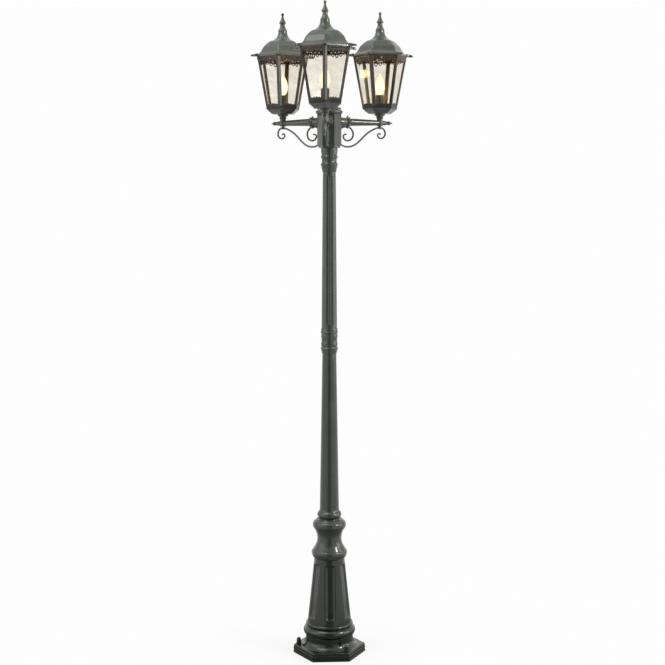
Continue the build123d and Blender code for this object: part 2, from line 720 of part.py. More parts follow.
def arm_tip():
    """Pointed ball at the arm's end, screwed in by its own stud."""
    start = ARM_REACH + ARM_BOSS_RADIUS + ARM_END_LENGTH
    middle = start + TIP_RADIUS + 1.5
    span, neck = 0.8 * TIP_RADIUS, 0.6 * TIP_RADIUS
    ball = turned_along_x(
        outline(
            (start - ARM_END_LENGTH * 0.6, 0),
            (start - ARM_END_LENGTH * 0.6, TIP_STUD),
            (start, TIP_STUD),
            (start, neck),
            (middle - span, neck),
            ((middle, TIP_RADIUS), (middle + span, neck)),
            (start + TIP_LENGTH - 1, 1),
            (start + TIP_LENGTH, 0),
        )
    )
    return at_height(ball, arm_z)


def bar_along(points, start_direction):
    """A round bar along arcs, each tangent to the one before."""
    arcs = []
    direction = start_direction
    for here, there in zip(points, points[1:]):
        arc = TangentArc(here, there, tangent=direction)
        arcs.append(arc)
        direction = arc % 1
    path = Plane.XZ * Wire(arcs)
    return sweep(Plane(origin=path @ 0, z_dir=path % 0) * Circle(BAR_RADIUS), path=path)


def scroll():
    """An arm's two brackets: the long S under the whole arm, and the C near the hub, each with its clip."""
    outside = arm_solid()
    inside_hub = hub_flat - 3
    top = -S_DROP
    far = ARM_REACH + S_EYE_RADIUS + 3.5
    s_points = [
        (inside_hub, -S_BOTTOM_DROP + 22),
        (67, -S_BOTTOM_DROP),
        (105, -S_BOTTOM_DROP + 12),
        (129, (top - S_BOTTOM_DROP) / 2 - 1),
        (ARM_REACH - 4, top),
        (far, top - 19.5),
        (ARM_REACH + 6, top - 2 * S_EYE_RADIUS - 0.5),
        (ARM_REACH - 7.5, top - 27.5),
        (ARM_REACH + 2, top - 22),
    ]
    c_bottom = -C_DROP + 4 - C_HEIGHT
    c_points = [
        (inside_hub, -C_DROP - 14),
        (67, -C_DROP + 4),
        (C_REACH, -C_DROP - 19),
        (68, c_bottom),
        (53.5, c_bottom + 13),
        (63, c_bottom + 21),
    ]
    clip_block = Box(CLIP_WIDTH, 2 * BAR_RADIUS + 3, 2 * S_DROP, align=(Align.CENTER, Align.CENTER, Align.MIN))
    pieces = []
    for points, heading, clip_reach, clip_top in (
        (s_points, (0.43, -0.9), ARM_REACH, top),
        (c_points, (0.5, 0.87), LEAF_COLLAR_REACH - 1, -C_DROP + 4),
    ):
        bar = bar_along(points, heading)
        bar += Pos(clip_reach, 0, clip_top - BAR_RADIUS - 2) * clip_block
        pieces.append(at_height(bar, arm_z))
    solid_hub = Rot(0, 0, 30) * extrude(RegularPolygon(HUB_CORNER, 6), hub_top)
    collar_zone = arm_collar()
    core = Pos(0, 0, arm_z) * Rot(0, 90, 0) * Cylinder(ARM_NEAR_RADIUS, 2 * ARM_REACH)
    above = Pos(ARM_REACH / 2, 0, arm_z + ARM_REACH / 2) * Box(2 * ARM_REACH, ARM_REACH, ARM_REACH)
    trimmed = []
    for piece in pieces:
        trimmed.append(piece - solid_hub - outside - collar_zone - core - above)
    return trimmed


def lamp_lead():
    """From the junction block up, out along the arm's bore and up through the nipple into the lampholder."""
    block_top = strip_base + STRIP_THICKNESS + JUNCTION_HEIGHT
    end = dish_floor + NIPPLE_ENGAGEMENT + LEAD_CHAMBER
    points = [
        (7, 0, block_top),
        (7, 0, arm_z),
        (ARM_REACH, 0, arm_z),
        (ARM_REACH, 0, end),
    ]
    return cord(points, [3 * LEAD_BEND, LEAD_BEND], LEAD_RADIUS)


# ---- lantern, on its own axis -----------------------------------------------------------------------
def lantern_nipple():
    """Hollow threaded pipe from the arm's boss into the lampholder."""
    start = arm_z + ARM_BOSS_RISE / 2
    end = dish_floor + NIPPLE_ENGAGEMENT
    return rod(NIPPLE_RADIUS, start, end) - rod(NIPPLE_BORE, start, end)


def foot_cup():
    """Stepped cup between the arm and the dish."""
    z = cup_base
    bore = NIPPLE_RADIUS + TURNING_GAP
    return turned(
        outline(
            (bore, z),
            (CUP_FOOT_RADIUS, z),
            ((CUP_FOOT_RADIUS + 0.5, z + 4), (CUP_FOOT_RADIUS + 3.5, z + 7)),
            (CUP_FOOT_RADIUS + 1.5, z + 9),
            ((CUP_FOOT_RADIUS + 2.5, z + 12), (CUP_RADIUS - 1.5, z + 15)),
            (CUP_RADIUS, z + CUP_HEIGHT - 2),
            (CUP_RADIUS, z + CUP_HEIGHT),
            (bore, z + CUP_HEIGHT),
        )
    )


def dish():
    """Hexagonal pan under the cage."""
    rim = CAGE_BOTTOM_CORNER * COS30
    bottom = DISH_BOTTOM_CORNER * COS30
    lip = cage_base - 6
    outer = outline(
        (0, dish_base),
        (bottom, dish_base),
        (bottom + 2, dish_base + 3),
        ((rim - 7, dish_base + 10), (rim - 1, lip)),
        (rim, lip + 1),
        (rim, cage_base),
        (0, cage_base),
    )
    inner = outline(
        (0, dish_floor),
        (bottom - 1, dish_floor),
        ((rim - 10, dish_base + 11), (rim - 5, lip)),
        (rim - 5, cage_base),
        (0, cage_base),
    )
    pan = hexagonal(outer, CAGE_TOP_CORNER) - hexagonal(inner, CAGE_TOP_CORNER)
    return pan - rod(NIPPLE_RADIUS + TURNING_GAP, dish_base, dish_floor)


def cage_face_plane(inset):
    """The plane of one sloping side, its X along the side, its Y up the slope, moved in by an inset."""
    flat = CAGE_BOTTOM_CORNER * COS30
    tilt = math.radians(face_tilt)
    normal = Vector(math.cos(tilt), 0, -math.sin(tilt))
    origin = Vector(flat, 0, cage_base) - normal * inset
    return Plane(origin=origin, x_dir=(0, 1, 0), z_dir=normal)


def half_side(up_slope):
    """Half the length of a cage side at a distance up the slope."""
    share = up_slope / face_length
    return (CAGE_BOTTOM_CORNER + (CAGE_TOP_CORNER - CAGE_BOTTOM_CORNER) * share) / 2


def scallops(left, right, level, depth, peak):
    """Arc steps from one side to the other: lobes that swing out by depth from a level, the middle one most."""
    steps = []
    width = (right - left) / LOBES
    for i in range(LOBES):
        start = left + i * width
        swing = peak if i == LOBES // 2 else depth
        steps.append(((start + width / 2, level + swing), (start + width, level)))
    return steps


def cage_window():
    """The opening in one side: scalloped fringe above, scalloped upstand below."""
    low = UPSTAND_NOTCH
    high = face_length - FRINGE_NOTCH
    low_half = half_side(low) - RIB_WIDTH
    high_half = half_side(high) - RIB_WIDTH
    rise = UPSTAND_HEIGHT - UPSTAND_NOTCH
    fall = FRINGE_DEPTH - FRINGE_NOTCH
    bottom = scallops(-low_half, low_half, low, rise * 0.7, rise)
    top = scallops(high_half, -high_half, high, -fall * 0.65, -fall)
    return outline((-low_half, low), *bottom, (high_half, high), *top)


def cage():
    """Six angle ribs with rails, fringes and upstands, cast as one frame."""
    low = CAGE_BOTTOM_CORNER * COS30
    high = CAGE_TOP_CORNER * COS30
    lean = math.tan(math.radians(face_tilt))
    wall = CAGE_WALL / math.cos(math.radians(face_tilt))
    outer = outline((0, cage_base), (low, cage_base), (high, cage_top), (0, cage_top))
    inner = outline(
        (0, cage_base),
        (low - LEDGE_WIDTH, cage_base),
        (low - LEDGE_WIDTH, cage_base + LEDGE_HEIGHT),
        (low + lean * LEDGE_HEIGHT - wall, cage_base + LEDGE_HEIGHT),
        (high - lean * RAIL_DEPTH - wall, cage_top - RAIL_DEPTH),
        (high - RAIL_WIDTH, cage_top - RAIL_DEPTH),
        (high - RAIL_WIDTH, cage_top),
        (0, cage_top),
    )
    frame = hexagonal(outer, 2 * CAGE_TOP_CORNER) - hexagonal(inner, 2 * CAGE_TOP_CORNER)
    cutter = extrude(cage_face_plane(2 * CAGE_WALL) * cage_window(), 4 * CAGE_WALL)
    for window in around(cutter, 6, 30):
        frame -= window
    return frame


def panes():
    """Six trapezoidal glass plates behind the cage's sides."""
    low = LEDGE_HEIGHT
    high = face_length - RAIL_DEPTH - STRAP_THICKNESS - PANE_MARGIN
    behind = CAGE_WALL + PANE_THICKNESS
    low_half = half_side(low) - behind * 0.62 - 0.5
    high_half = half_side(high) - behind * 0.62 - 0.5
    sheet = outline((-low_half, low), (low_half, low), (high_half, high), (-high_half, high))
    plate = extrude(cage_face_plane(behind) * sheet, PANE_THICKNESS)
    return around(plate, 6, 30)


def lampholder():
    """Flange and candle tube, with a chamber for the lead's end and a socket for the bulb."""
    flange_top = dish_floor + HOLDER_FLANGE_HEIGHT
    body = rod(HOLDER_FLANGE_RADIUS, dish_floor, flange_top) + rod(HOLDER_RADIUS, flange_top, holder_top)
    nipple_top = dish_floor + NIPPLE_ENGAGEMENT
    body -= rod(NIPPLE_RADIUS + TURNING_GAP, dish_floor, nipple_top + LEAD_CHAMBER)
    return body - rod(BULB_CAP_RADIUS + TURNING_GAP, bulb_seat, holder_top)


def bulb():
    """Screw cap and a candle-shaped glass."""
    z = holder_top
    top = z + BULB_GLASS_HEIGHT
    return turned(
        outline(
            (0, bulb_seat),
            (BULB_CAP_RADIUS, bulb_seat),
            (BULB_CAP_RADIUS, z + 1),
            ((BULB_RADIUS - 3, z + 11), (BULB_RADIUS, z + 28)),
            ((BULB_RADIUS - 3, z + 47), (4, top - 7)),
            (2.4, top - 2),
            dome(2.4, top - 2, top),
        )
    )


def roof_bridge():
    """Strap across the cage under its top rail, with the boss that the stud stands in."""
    length = 2 * (CAGE_TOP_CORNER * COS30 - CAGE_WALL - 3)
    strap = Pos(0, 0, strap_top - STRAP_THICKNESS / 2) * Box(STRAP_WIDTH, length, STRAP_THICKNESS)
    strap += rod(STRAP_BOSS_RADIUS, strap_top - STRAP_BOSS_HEIGHT, strap_top)
    return strap - rod(STUD_RADIUS + TURNING_GAP, strap_top - STRAP_BOSS_HEIGHT, strap_top)


def roof():
    """Hexagonal bell roof with a lip over the cage and a cast ear at each corner."""
    z = cage_top
    lip_top = z + EAVE_LIP
    knee = (EAVE_FLAT * 0.805, z + 0.27 * ROOF_HEIGHT)
    shoulder = (EAVE_FLAT * 0.51, z + 0.61 * ROOF_HEIGHT)
    crown = (ROOF_CROWN_RADIUS, roof_top - 5)
    outer = outline(
        (0, z),
        (EAVE_FLAT, z),
        (EAVE_FLAT, lip_top),
        ((knee[0] + 5.5, knee[1] - 9), knee),
        ((knee[0] - 9, knee[1] + 16.5), shoulder),
        ((shoulder[0] - 18, shoulder[1] + 10.5), crown),
        (ROOF_CROWN_RADIUS, roof_top),
        (0, roof_top),
    )
    drop = ROOF_WALL + 0.6
    inner = outline(
        (0, z),
        (EAVE_FLAT - EAVE_SEAT, z),
        (EAVE_FLAT - EAVE_SEAT, lip_top),
        ((knee[0] + 1, knee[1] - 9), (knee[0] - drop, knee[1] - 1)),
        ((knee[0] - 11.5, knee[1] + 13.5), (shoulder[0] - 1.5, shoulder[1] - drop)),
        ((shoulder[0] - 20.5, shoulder[1] + 6), (ROOF_CROWN_RADIUS - drop, roof_top - 9)),
        (0, roof_top - 9),
    )
    shell = hexagonal(outer, 2 * EAVE_FLAT) - hexagonal(inner, 2 * EAVE_FLAT)
    shell -= rod(STUD_RADIUS + TURNING_GAP, roof_top - 9, roof_top)
    corner = EAVE_FLAT / COS30
    tab = Pos(corner + EAR_LENGTH - EAR_WIDTH / 2, 0, 0) * Circle(EAR_WIDTH / 2)
    tab += Pos(corner + 2, 0, 0) * Rectangle(2 * EAR_LENGTH - EAR_WIDTH - 4, EAR_WIDTH)
    tab -= Pos(corner + EAR_LENGTH - EAR_WIDTH / 2, 0, 0) * Circle(EAR_HOLE)
    ear = Pos(0, 0, z) * extrude(tab, EAR_THICKNESS)
    outside = hexagonal(outer, 2 * EAVE_FLAT)
    for piece in around(ear, 6):
        shell += piece - outside
    return shell


def roof_stud():
    """Stud that stands in the strap with its head below the boss and passes through the roof's crown."""
    under = strap_top - STRAP_BOSS_HEIGHT
    head = extrude(RegularPolygon(STUD_HEAD_CORNER, 6), STUD_HEAD_HEIGHT)
    return Pos(0, 0, under - STUD_HEAD_HEIGHT) * head + rod(STUD_RADIUS, under, roof_top + STUD_IN_FINIAL)


def finial():
    """Spire, threaded inside to screw down on the stud: flange, neck, bell, cone and ball."""
    z = roof_top
    top = z + FINIAL_HEIGHT
    ball = top - FINIAL_BALL
    bell = z + 0.47 * FINIAL_HEIGHT
    hole = STUD_RADIUS + TURNING_GAP
    return turned(
        outline(
            (0, z + FINIAL_HOLE_DEPTH),
            (hole, z + FINIAL_HOLE_DEPTH),
            (hole, z),
            (FINIAL_FLANGE, z),
            (FINIAL_FLANGE, z + 3),
            ((FINIAL_FLANGE - 4, z + 9), (FINIAL_NECK, z + 0.31 * FINIAL_HEIGHT)),
            (FINIAL_NECK + 0.5, bell - 4),
            (FINIAL_BELL, bell - 2),
            (FINIAL_BELL, bell),
            ((FINIAL_BALL + 1.6, bell + 9), (0.6 * FINIAL_BALL, ball - 0.8 * FINIAL_BALL)),
            dome(0.6 * FINIAL_BALL, ball - 0.8 * FINIAL_BALL, top),
        )
    )


# ---- assembly ---------------------------------------------------------------------------------------
def on_head(shape, number):
    """Turn a piece drawn along +X to the direction of its arm; arm 1 points to the front."""
    return Rot(0, 0, -90 + HEAD_TURN + 360 / ARM_COUNT * number) * shape


def on_arm(shape, number):
    """Place a piece drawn on the lantern's own axis at the end of its arm."""
    placed = Pos(ARM_REACH, 0, 0) * Rot(0, 0, LANTERN_TURNS[number]) * shape
    return on_head(placed, number)


def save(name, shape):
    solids = shape if isinstance(shape, list) else [shape]
    if len(solids) == 1:
        export_step(solids[0], f"parts/{name}.step")
    else:
        export_step(Compound(children=[s.solid() for s in solids]), f"parts/{name}.step")


os.makedirs("parts", exist_ok=True)

POST_PIECES = {
    "base_foot": base_foot,
    "anchor_nuts": anchor_nuts,
    "pedestal": pedestal,
    "urn_collar": urn_collar,
    "lower_tube": lower_tube,
    "mid_coupling": mid_coupling,
    "upper_tube": upper_tube,
    "top_collar": top_collar,
    "tie_rod": tie_rod,
    "tie_rod_nuts": tie_rod_nuts,
    "tie_rod_bridge": tie_rod_bridge,
    "terminal_block": terminal_block,
    "supply_cable": supply_cable,
}
for piece_name, make in POST_PIECES.items():
    save(piece_name, make())

save("hub", on_head(hub(), 0))
save("hub_cap", hub_cap())
save("hub_grub_screws", [on_head(screw, 0) for screw in hub_grub_screws()])
save("junction_block", on_head(junction_block(), 0))

ARM_PIECES = {"arm": arm(), "arm_collar": arm_collar(), "arm_tip": arm_tip(), "lamp_lead": lamp_lead()}
brackets = scroll()
LANTERN_PIECES = {
    "foot_cup": foot_cup(),
    "dish": dish(),
    "cage": cage(),
    "lampholder": lampholder(),
    "roof_bridge": roof_bridge(),
    "roof": roof(),
    "roof_stud": roof_stud(),
    "finial": finial(),
    "bulb": bulb(),
}
glass = panes()
for number in range(ARM_COUNT):
    for piece_name, shape in ARM_PIECES.items():
        save(f"{piece_name}_{number + 1}", on_head(shape, number))
    save(f"scroll_{number + 1}", [on_head(bracket, number) for bracket in brackets])
    for piece_name, shape in LANTERN_PIECES.items():
        save(f"{piece_name}_{number + 1}", on_arm(shape, number))
    save(f"panes_{number + 1}", [on_arm(pane, number) for pane in glass])
save("lantern_nipples", [on_arm(lantern_nipple(), number) for number in range(ARM_COUNT)])
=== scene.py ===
"""Looks of a garden lamp post with three lantern heads, built round its fixed frame of solids."""

from __future__ import annotations
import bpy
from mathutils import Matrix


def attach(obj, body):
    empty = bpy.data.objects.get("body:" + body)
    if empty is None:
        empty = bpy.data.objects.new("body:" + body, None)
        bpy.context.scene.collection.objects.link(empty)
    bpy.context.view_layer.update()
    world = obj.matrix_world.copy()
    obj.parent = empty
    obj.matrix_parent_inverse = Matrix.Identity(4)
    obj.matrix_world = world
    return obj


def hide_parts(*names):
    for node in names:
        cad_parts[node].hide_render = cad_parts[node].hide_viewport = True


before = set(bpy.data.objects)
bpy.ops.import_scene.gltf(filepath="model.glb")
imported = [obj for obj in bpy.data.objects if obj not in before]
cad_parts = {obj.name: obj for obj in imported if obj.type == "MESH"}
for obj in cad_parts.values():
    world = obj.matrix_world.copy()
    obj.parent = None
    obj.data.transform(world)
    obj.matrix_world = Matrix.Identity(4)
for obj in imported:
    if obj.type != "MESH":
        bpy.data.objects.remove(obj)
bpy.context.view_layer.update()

import logging
import math
from collections.abc import Callable, Sequence
from dataclasses import dataclass, field
from enum import Enum

import bmesh
import bpy
from mathutils import Matrix, Vector

log = logging.getLogger("lamp_post")

Point = tuple[float, float]
Colour = tuple[float, float, float]
Radial = Callable[[float], float]
Spots = Sequence[float] | Callable[[float], list[float]]
Settings = dict[str, object]
Values = dict[int | str, object]

MM = 0.001
COS30 = math.cos(math.radians(30))
SHARP_EDGE = math.radians(38)
MERGE_GAP = 0.002  # vertices closer than this become one, in millimetres
LIFT = Vector((0, 0, 0.01))  # keeps a new ring off the ring it lies on until it is bridged

# Heights and reaches are in millimetres, turns in degrees, powers in watts.
# A tuple has one value for each lantern.
HEAD_TURN = -7.0  # how far the head is set round from square with the foot
ARM_REACH = 194.0
LANTERN_TURNS = (4.0, -18.0, -4.0)
ARM_Z = 1854.0
CUP_Z = 1864.0
DISH_Z = 1885.0
CAGE_Z = 1909.0
CAGE_TOP_Z = 2079.0
ROOF_TOP_Z = 2168.0
HUB_Z = 1765.0
HUB_TOP_Z = 1880.0
GLOW_Z = 1985.0
BULB_POWERS = (0.32, 1.0, 0.6)


class Family(Enum):
    """Which group of moving pieces something rides on, as the frame names its bodies."""

    POST = "post"
    HEAD = "head"
    LANTERN = "lantern_{}"
    LID = "lid_{}"
    SPIRE = "spire_{}"
    LAMP = "lamp_{}"

    def body(self, number: int = 0) -> str:
        """The frame's name for the body, with the lantern's number where it has one."""
        return self.value.format(number)


# ---- shader maths -----------------------------------------------------------------------------------
class Wire:
    """A shader socket that takes part in Python arithmetic."""

    def __init__(self, graph: Graph, socket: bpy.types.NodeSocket) -> None:
        """Hold a socket and the graph it is in."""
        self.graph = graph
        self.socket = socket

    def maths(self, operation: str, other: Wire | float, swapped: bool = False) -> Wire:
        """Join this socket and another value in a Math node.

        Args:
            operation: The Math node's operation.
            other: The second value.
            swapped: True puts the other value first.

        Returns:
            The node's output.
        """
        pair = (other, self) if swapped else (self, other)
        return self.graph.node("ShaderNodeMath", {"operation": operation}, {0: pair[0], 1: pair[1]})

    def __add__(self, other: Wire | float) -> Wire:
        """Add."""
        return self.maths("ADD", other)

    __radd__ = __add__

    def __mul__(self, other: Wire | float) -> Wire:
        """Multiply."""
        return self.maths("MULTIPLY", other)

    __rmul__ = __mul__

    def __sub__(self, other: Wire | float) -> Wire:
        """Subtract a value."""
        return self.maths("SUBTRACT", other)

    def __rsub__(self, other: Wire | float) -> Wire:
        """Subtract from a value."""
        return self.maths("SUBTRACT", other, swapped=True)

    def held(self, low: float, high: float) -> Wire:
        """Spread the stretch from low to high over 0 to 1, and clamp.

        Args:
            low: The value that becomes 0.
            high: The value that becomes 1.

        Returns:
            The clamped value.
        """
        settings = {"clamp": True, "interpolation_type": "SMOOTHSTEP"}
        return self.graph.node("ShaderNodeMapRange", settings, {0: self, 1: low, 2: high, 3: 0.0, 4: 1.0})


class Graph:
    """A material's or world's nodes, made by one method."""

    def __init__(self, tree: bpy.types.NodeTree) -> None:
        """Clear the tree and start again."""
        self.tree = tree
        tree.nodes.clear()

    def node(self, kind: str, settings: Settings, values: Values, out: int | str = 0) -> Wire:
        """Make a node.

        Args:
            kind: The node's type.
            settings: Its properties, set before its sockets.
            values: What each input socket holds or is linked to.
            out: The output that is wanted.

        Returns:
            That output.
        """
        made = self.tree.nodes.new(kind)
        for name, value in settings.items():
            setattr(made, name, value)
        for name, value in values.items():
            socket = made.inputs[name]
            if isinstance(value, Wire):
                self.tree.links.new(value.socket, socket)
            else:
                socket.default_value = value
        return Wire(self, made.outputs[out]) if made.outputs else Wire(self, None)

    def place(self, scale: Sequence[float] = (1, 1, 1)) -> Wire:
        """Object coordinates, stretched."""
        spot = self.node("ShaderNodeTexCoord", {}, {}, "Object")
        return self.node("ShaderNodeMapping", {}, {"Vector": spot, "Scale": scale})

    def noise(self, scale: float, detail: float = 3.0, rough: float = 0.5, at: Wire | None = None) -> Wire:
        """Smooth noise from 0 to 1.

        Args:
            scale: How many cells lie in a metre.
            detail: Octaves.
            rough: How strong the finer octaves are.
            at: Where it is read; object coordinates if left out.

        Returns:
            The noise's value.
        """
        values = {"Vector": at or self.place(), "Scale": scale, "Detail": detail, "Roughness": rough}
        return self.node("ShaderNodeTexNoise", {}, values, 0)

    def blend(self, share: Wire | float, first: Wire | Colour, second: Wire | Colour) -> Wire:
        """Mix two colours.

        Args:
            share: How much of the second.
            first: A colour or a link.
            second: A colour or a link.

        Returns:
            The colour.
        """
        settings = {"data_type": "RGBA", "blend_type": "MIX", "clamp_factor": True}
        pick = [(*c, 1.0) if isinstance(c, tuple) and len(c) == 3 else c for c in (first, second)]
        return self.node("ShaderNodeMix", settings, {0: share, 6: pick[0], 7: pick[1]}, 2)

    def bump(self, height: Wire, depth: float, strength: float = 1.0) -> Wire:
        """Turn a height into a normal.

        Args:
            height: The relief from 0 to 1.
            depth: Its depth in metres.
            strength: How much of it shows.

        Returns:
            The normal.
        """
        return self.node("ShaderNodeBump", {}, {"Height": height, "Distance": depth, "Strength": strength})

    def surface(self, values: Values) -> Wire:
        """The main shader with these sockets."""
        return self.node("ShaderNodeBsdfPrincipled", {}, values)

    def output(self, shader: Wire, kind: str = "ShaderNodeOutputMaterial") -> None:
        """End the graph."""
        self.node(kind, {}, {"Surface": shader})


# ---- finishes ---------------------------------------------------------------------------------------
@dataclass(frozen=True)
class Finish:
    """A finish that becomes one material."""

    name: str

    def dress(self, graph: Graph) -> Wire:
        """Make the finish's shader; each finish has its own."""
        raise NotImplementedError

    def material(self) -> bpy.types.Material:
        """Find or make the material, under a name that the frame's own plain materials don't have.

        Returns:
            The material.
        """
        title = f"{self.name}_finish"
        known = bpy.data.materials.get(title)
        if known:
            return known
        made = bpy.data.materials.new(title)
        made.use_nodes = True
        graph = Graph(made.node_tree)
        graph.output(self.dress(graph))
        return made


@dataclass(frozen=True)
class CastPaint(Finish):
    """Glossy paint over cast metal: softly mottled, with faint runs and the sand mould's slow unevenness."""

    dark: Colour = (0.026, 0.03, 0.026)
    light: Colour = (0.037, 0.041, 0.035)
    bloom: Colour = (0.06, 0.065, 0.055)
    gloss: float = 0.15
    coat: float = 0.45
    dust: float = 0.3
    shine: float = 0.5
    drawn: tuple[float, float, float] = (1.0, 1.0, 0.16)

    def tone(self, graph: Graph) -> Wire:
        """The paint's colour from place to place.

        Args:
            graph: The material's nodes.

        Returns:
            The colour.
        """
        broad = graph.noise(14, 4, 0.6)
        fine = graph.noise(120, 3, 0.6)
        runs = graph.noise(26, 3, 0.5, graph.place(self.drawn))
        colour = graph.blend(broad.held(0.35, 0.7), self.dark, self.light)
        colour = graph.blend(runs.held(0.5, 0.8) * self.dust, colour, self.bloom)
        return graph.blend(fine.held(0.55, 0.85) * (0.6 * self.dust), colour, self.bloom)

    def dress(self, graph: Graph) -> Wire:
        """Mottled paint with a clear gloss on top.

        Args:
            graph: The material's nodes.

        Returns:
            The shader.
        """
        waves = graph.noise(34, 2, 0.5)
        peel = graph.noise(260, 2, 0.5)
        return graph.surface(
            {
                "Base Color": self.tone(graph),
                "Roughness": self.gloss + 0.1 * waves + 0.06 * peel,
                "Normal": graph.bump(waves + 0.06 * peel, 0.0008, 0.5),
                "Metallic": 0.0,
                "Coat Weight": self.coat,
                "Coat Roughness": 0.06,
                "Specular IOR Level": self.shine,
            }
        )


@dataclass(frozen=True)
class BulbGlowPaint(CastPaint):
    """The cages' paint, with the bulbs' copper light painted into its colour in patches, most of it towards
    the fringes.
    """

    # Painted light: the bulbs' copper glow, laid on between the heights low and high, in metres, at most
    # share of it.
    painted_glow: Colour = (0.13, 0.06, 0.026)
    low: float = 1.93
    high: float = 2.07
    share: float = 0.34

    def tone(self, graph: Graph) -> Wire:
        """The cast paint's colour with the painted copper glow of the bulbs over it.

        Args:
            graph: The material's nodes.

        Returns:
            The colour.
        """
        # Painted light: patches of the bulbs' copper glow, from the height low up to high.
        height = graph.node("ShaderNodeSeparateXYZ", {}, {0: graph.place()}, 2)
        patches = graph.noise(19, 2, 0.5, graph.place((1.0, 1.0, 0.5))).held(0.42, 0.6)
        share = height.held(self.low, self.high) * patches * self.share
        return graph.blend(share, super().tone(graph), self.painted_glow)


@dataclass(frozen=True)
class PlatedSteel(Finish):
    """Dull zinc plating with a drawn grain."""

    tint: Colour = (0.55, 0.55, 0.53)

    def dress(self, graph: Graph) -> Wire:
        """Spangled plating.

        Args:
            graph: The material's nodes.

        Returns:
            The shader.
        """
        grain = graph.noise(220, 3, 0.6)
        cloud = graph.noise(45, 4, 0.6)
        darker = tuple(c * 0.6 for c in self.tint)
        colour = graph.blend(cloud.held(0.3, 0.75), self.tint, darker)
        return graph.surface(
            {
                "Base Color": colour,
                "Metallic": 1.0,
                "Roughness": 0.32 + 0.25 * cloud,
                "Normal": graph.bump(grain, 0.00006),
            }
        )


@dataclass(frozen=True)
class Moulded(Finish):
    """Moulded plastic, rubber or sleeve, faintly textured."""

    tint: Colour = (0.8, 0.8, 0.76)
    rough: float = 0.45

    def dress(self, graph: Graph) -> Wire:
        """Soft mottling and a fine moulded grain.

        Args:
            graph: The material's nodes.

        Returns:
            The shader.
        """
        cloud = graph.noise(60, 3, 0.5)
        grain = graph.noise(900, 2, 0.5)
        darker = tuple(c * 0.72 for c in self.tint)
        return graph.surface(
            {
                "Base Color": graph.blend(cloud.held(0.3, 0.8) * 0.6, self.tint, darker),
                "Roughness": self.rough + 0.12 * cloud,
                "Normal": graph.bump(grain, 0.00004),
            }
        )


@dataclass(frozen=True)
class WavyGlass(Finish):
    """Pale drawn glass with slow waves; light passes each face once, so four faces tint what lies behind."""

    tint: Colour = (0.93, 0.916, 0.877)
    streak: Colour = (0.964, 0.954, 0.93)
    sheen: Colour = (0.9, 0.9, 0.88)
    sheen_rough: float = 0.09
    sheen_ahead: float = 0.002
    sheen_aside: float = 0.2
    wave: float = 0.0008

    def dress(self, graph: Graph) -> Wire:
        """Clear glass, tinted unevenly along its waves, with a sheen that grows towards the edge of sight.

        Args:
            graph: The material's nodes.

        Returns:
            The shader.
        """
        waves = graph.noise(24, 2, 0.45, graph.place((1.0, 1.0, 2.2)))
        ripples = graph.noise(95, 2, 0.5)
        normal = graph.bump(waves + ripples * 0.05, self.wave)
        through = graph.blend(waves.held(0.35, 0.65), self.tint, self.streak)
        clear = graph.node("ShaderNodeBsdfTransparent", {}, {"Color": through})
        gloss = {"Color": (*self.sheen, 1.0), "Roughness": self.sheen_rough, "Normal": normal}
        sheen = graph.node("ShaderNodeBsdfGlossy", {}, gloss)
        edge = graph.node("ShaderNodeLayerWeight", {}, {"Blend": 0.35, "Normal": normal}, "Facing")
        share = edge * edge * self.sheen_aside + self.sheen_ahead
        return graph.node("ShaderNodeMixShader", {}, {0: share, 1: clear, 2: sheen})


@dataclass(frozen=True)
class LitGlass(Finish):
    """Bulb glass that glows from its filament."""

    core: Colour = (0.98, 0.96, 0.8)
    rim: Colour = (0.9, 0.74, 0.44)
    strength: float = 1.15

    def dress(self, graph: Graph) -> Wire:
        """White-hot in the middle, amber at the rim.

        Args:
            graph: The material's nodes.

        Returns:
            The shader.
        """
        facing = graph.node("ShaderNodeLayerWeight", {}, {"Blend": 0.5}, "Facing")
        swirl = graph.noise(60, 2, 0.5)
        glow = graph.blend((facing + swirl * 0.12).held(0.15, 0.95), self.core, self.rim)
        return graph.surface(
            {
                "Base Color": graph.blend(swirl, (0.3, 0.25, 0.15), (0.22, 0.18, 0.1)),
                "Roughness": 0.2 + 0.1 * swirl,
                "Emission Color": glow,
                "Emission Strength": self.strength,
                "Coat Weight": 0.5,
            }
        )


POST_PAINT = CastPaint(
    "post_paint",
    dark=(0.024, 0.03, 0.022),
    light=(0.034, 0.04, 0.03),
    bloom=(0.058, 0.064, 0.05),
)
FOOT_PAINT = CastPaint(
    "foot_paint",
    dark=(0.0045, 0.008, 0.002),
    light=(0.009, 0.015, 0.005),
    bloom=(0.022, 0.031, 0.014),
    gloss=0.12,
)
NUT_PAINT = CastPaint(
    "nut_paint",
    dark=(0.003, 0.004, 0.003),
    light=(0.006, 0.007, 0.005),
    bloom=(0.01, 0.011, 0.009),
    gloss=0.3,
)
HEAD_PAINT = CastPaint(
    "head_paint",
    dark=(0.03, 0.034, 0.027),
    light=(0.055, 0.06, 0.047),
    bloom=(0.095, 0.1, 0.078),
    gloss=0.17,
)
ROOF_PAINT = CastPaint(
    "lantern_paint",
    dark=(0.036, 0.045, 0.031),
    light=(0.072, 0.081, 0.058),
    bloom=(0.155, 0.16, 0.118),
    gloss=0.24,
    dust=0.6,
    drawn=(0.3, 0.3, 2.4),
)
DISH_PAINT = CastPaint(
    "dish_paint",
    dark=(0.024, 0.028, 0.023),
    light=(0.048, 0.052, 0.042),
    bloom=(0.09, 0.093, 0.075),
    gloss=0.2,
)
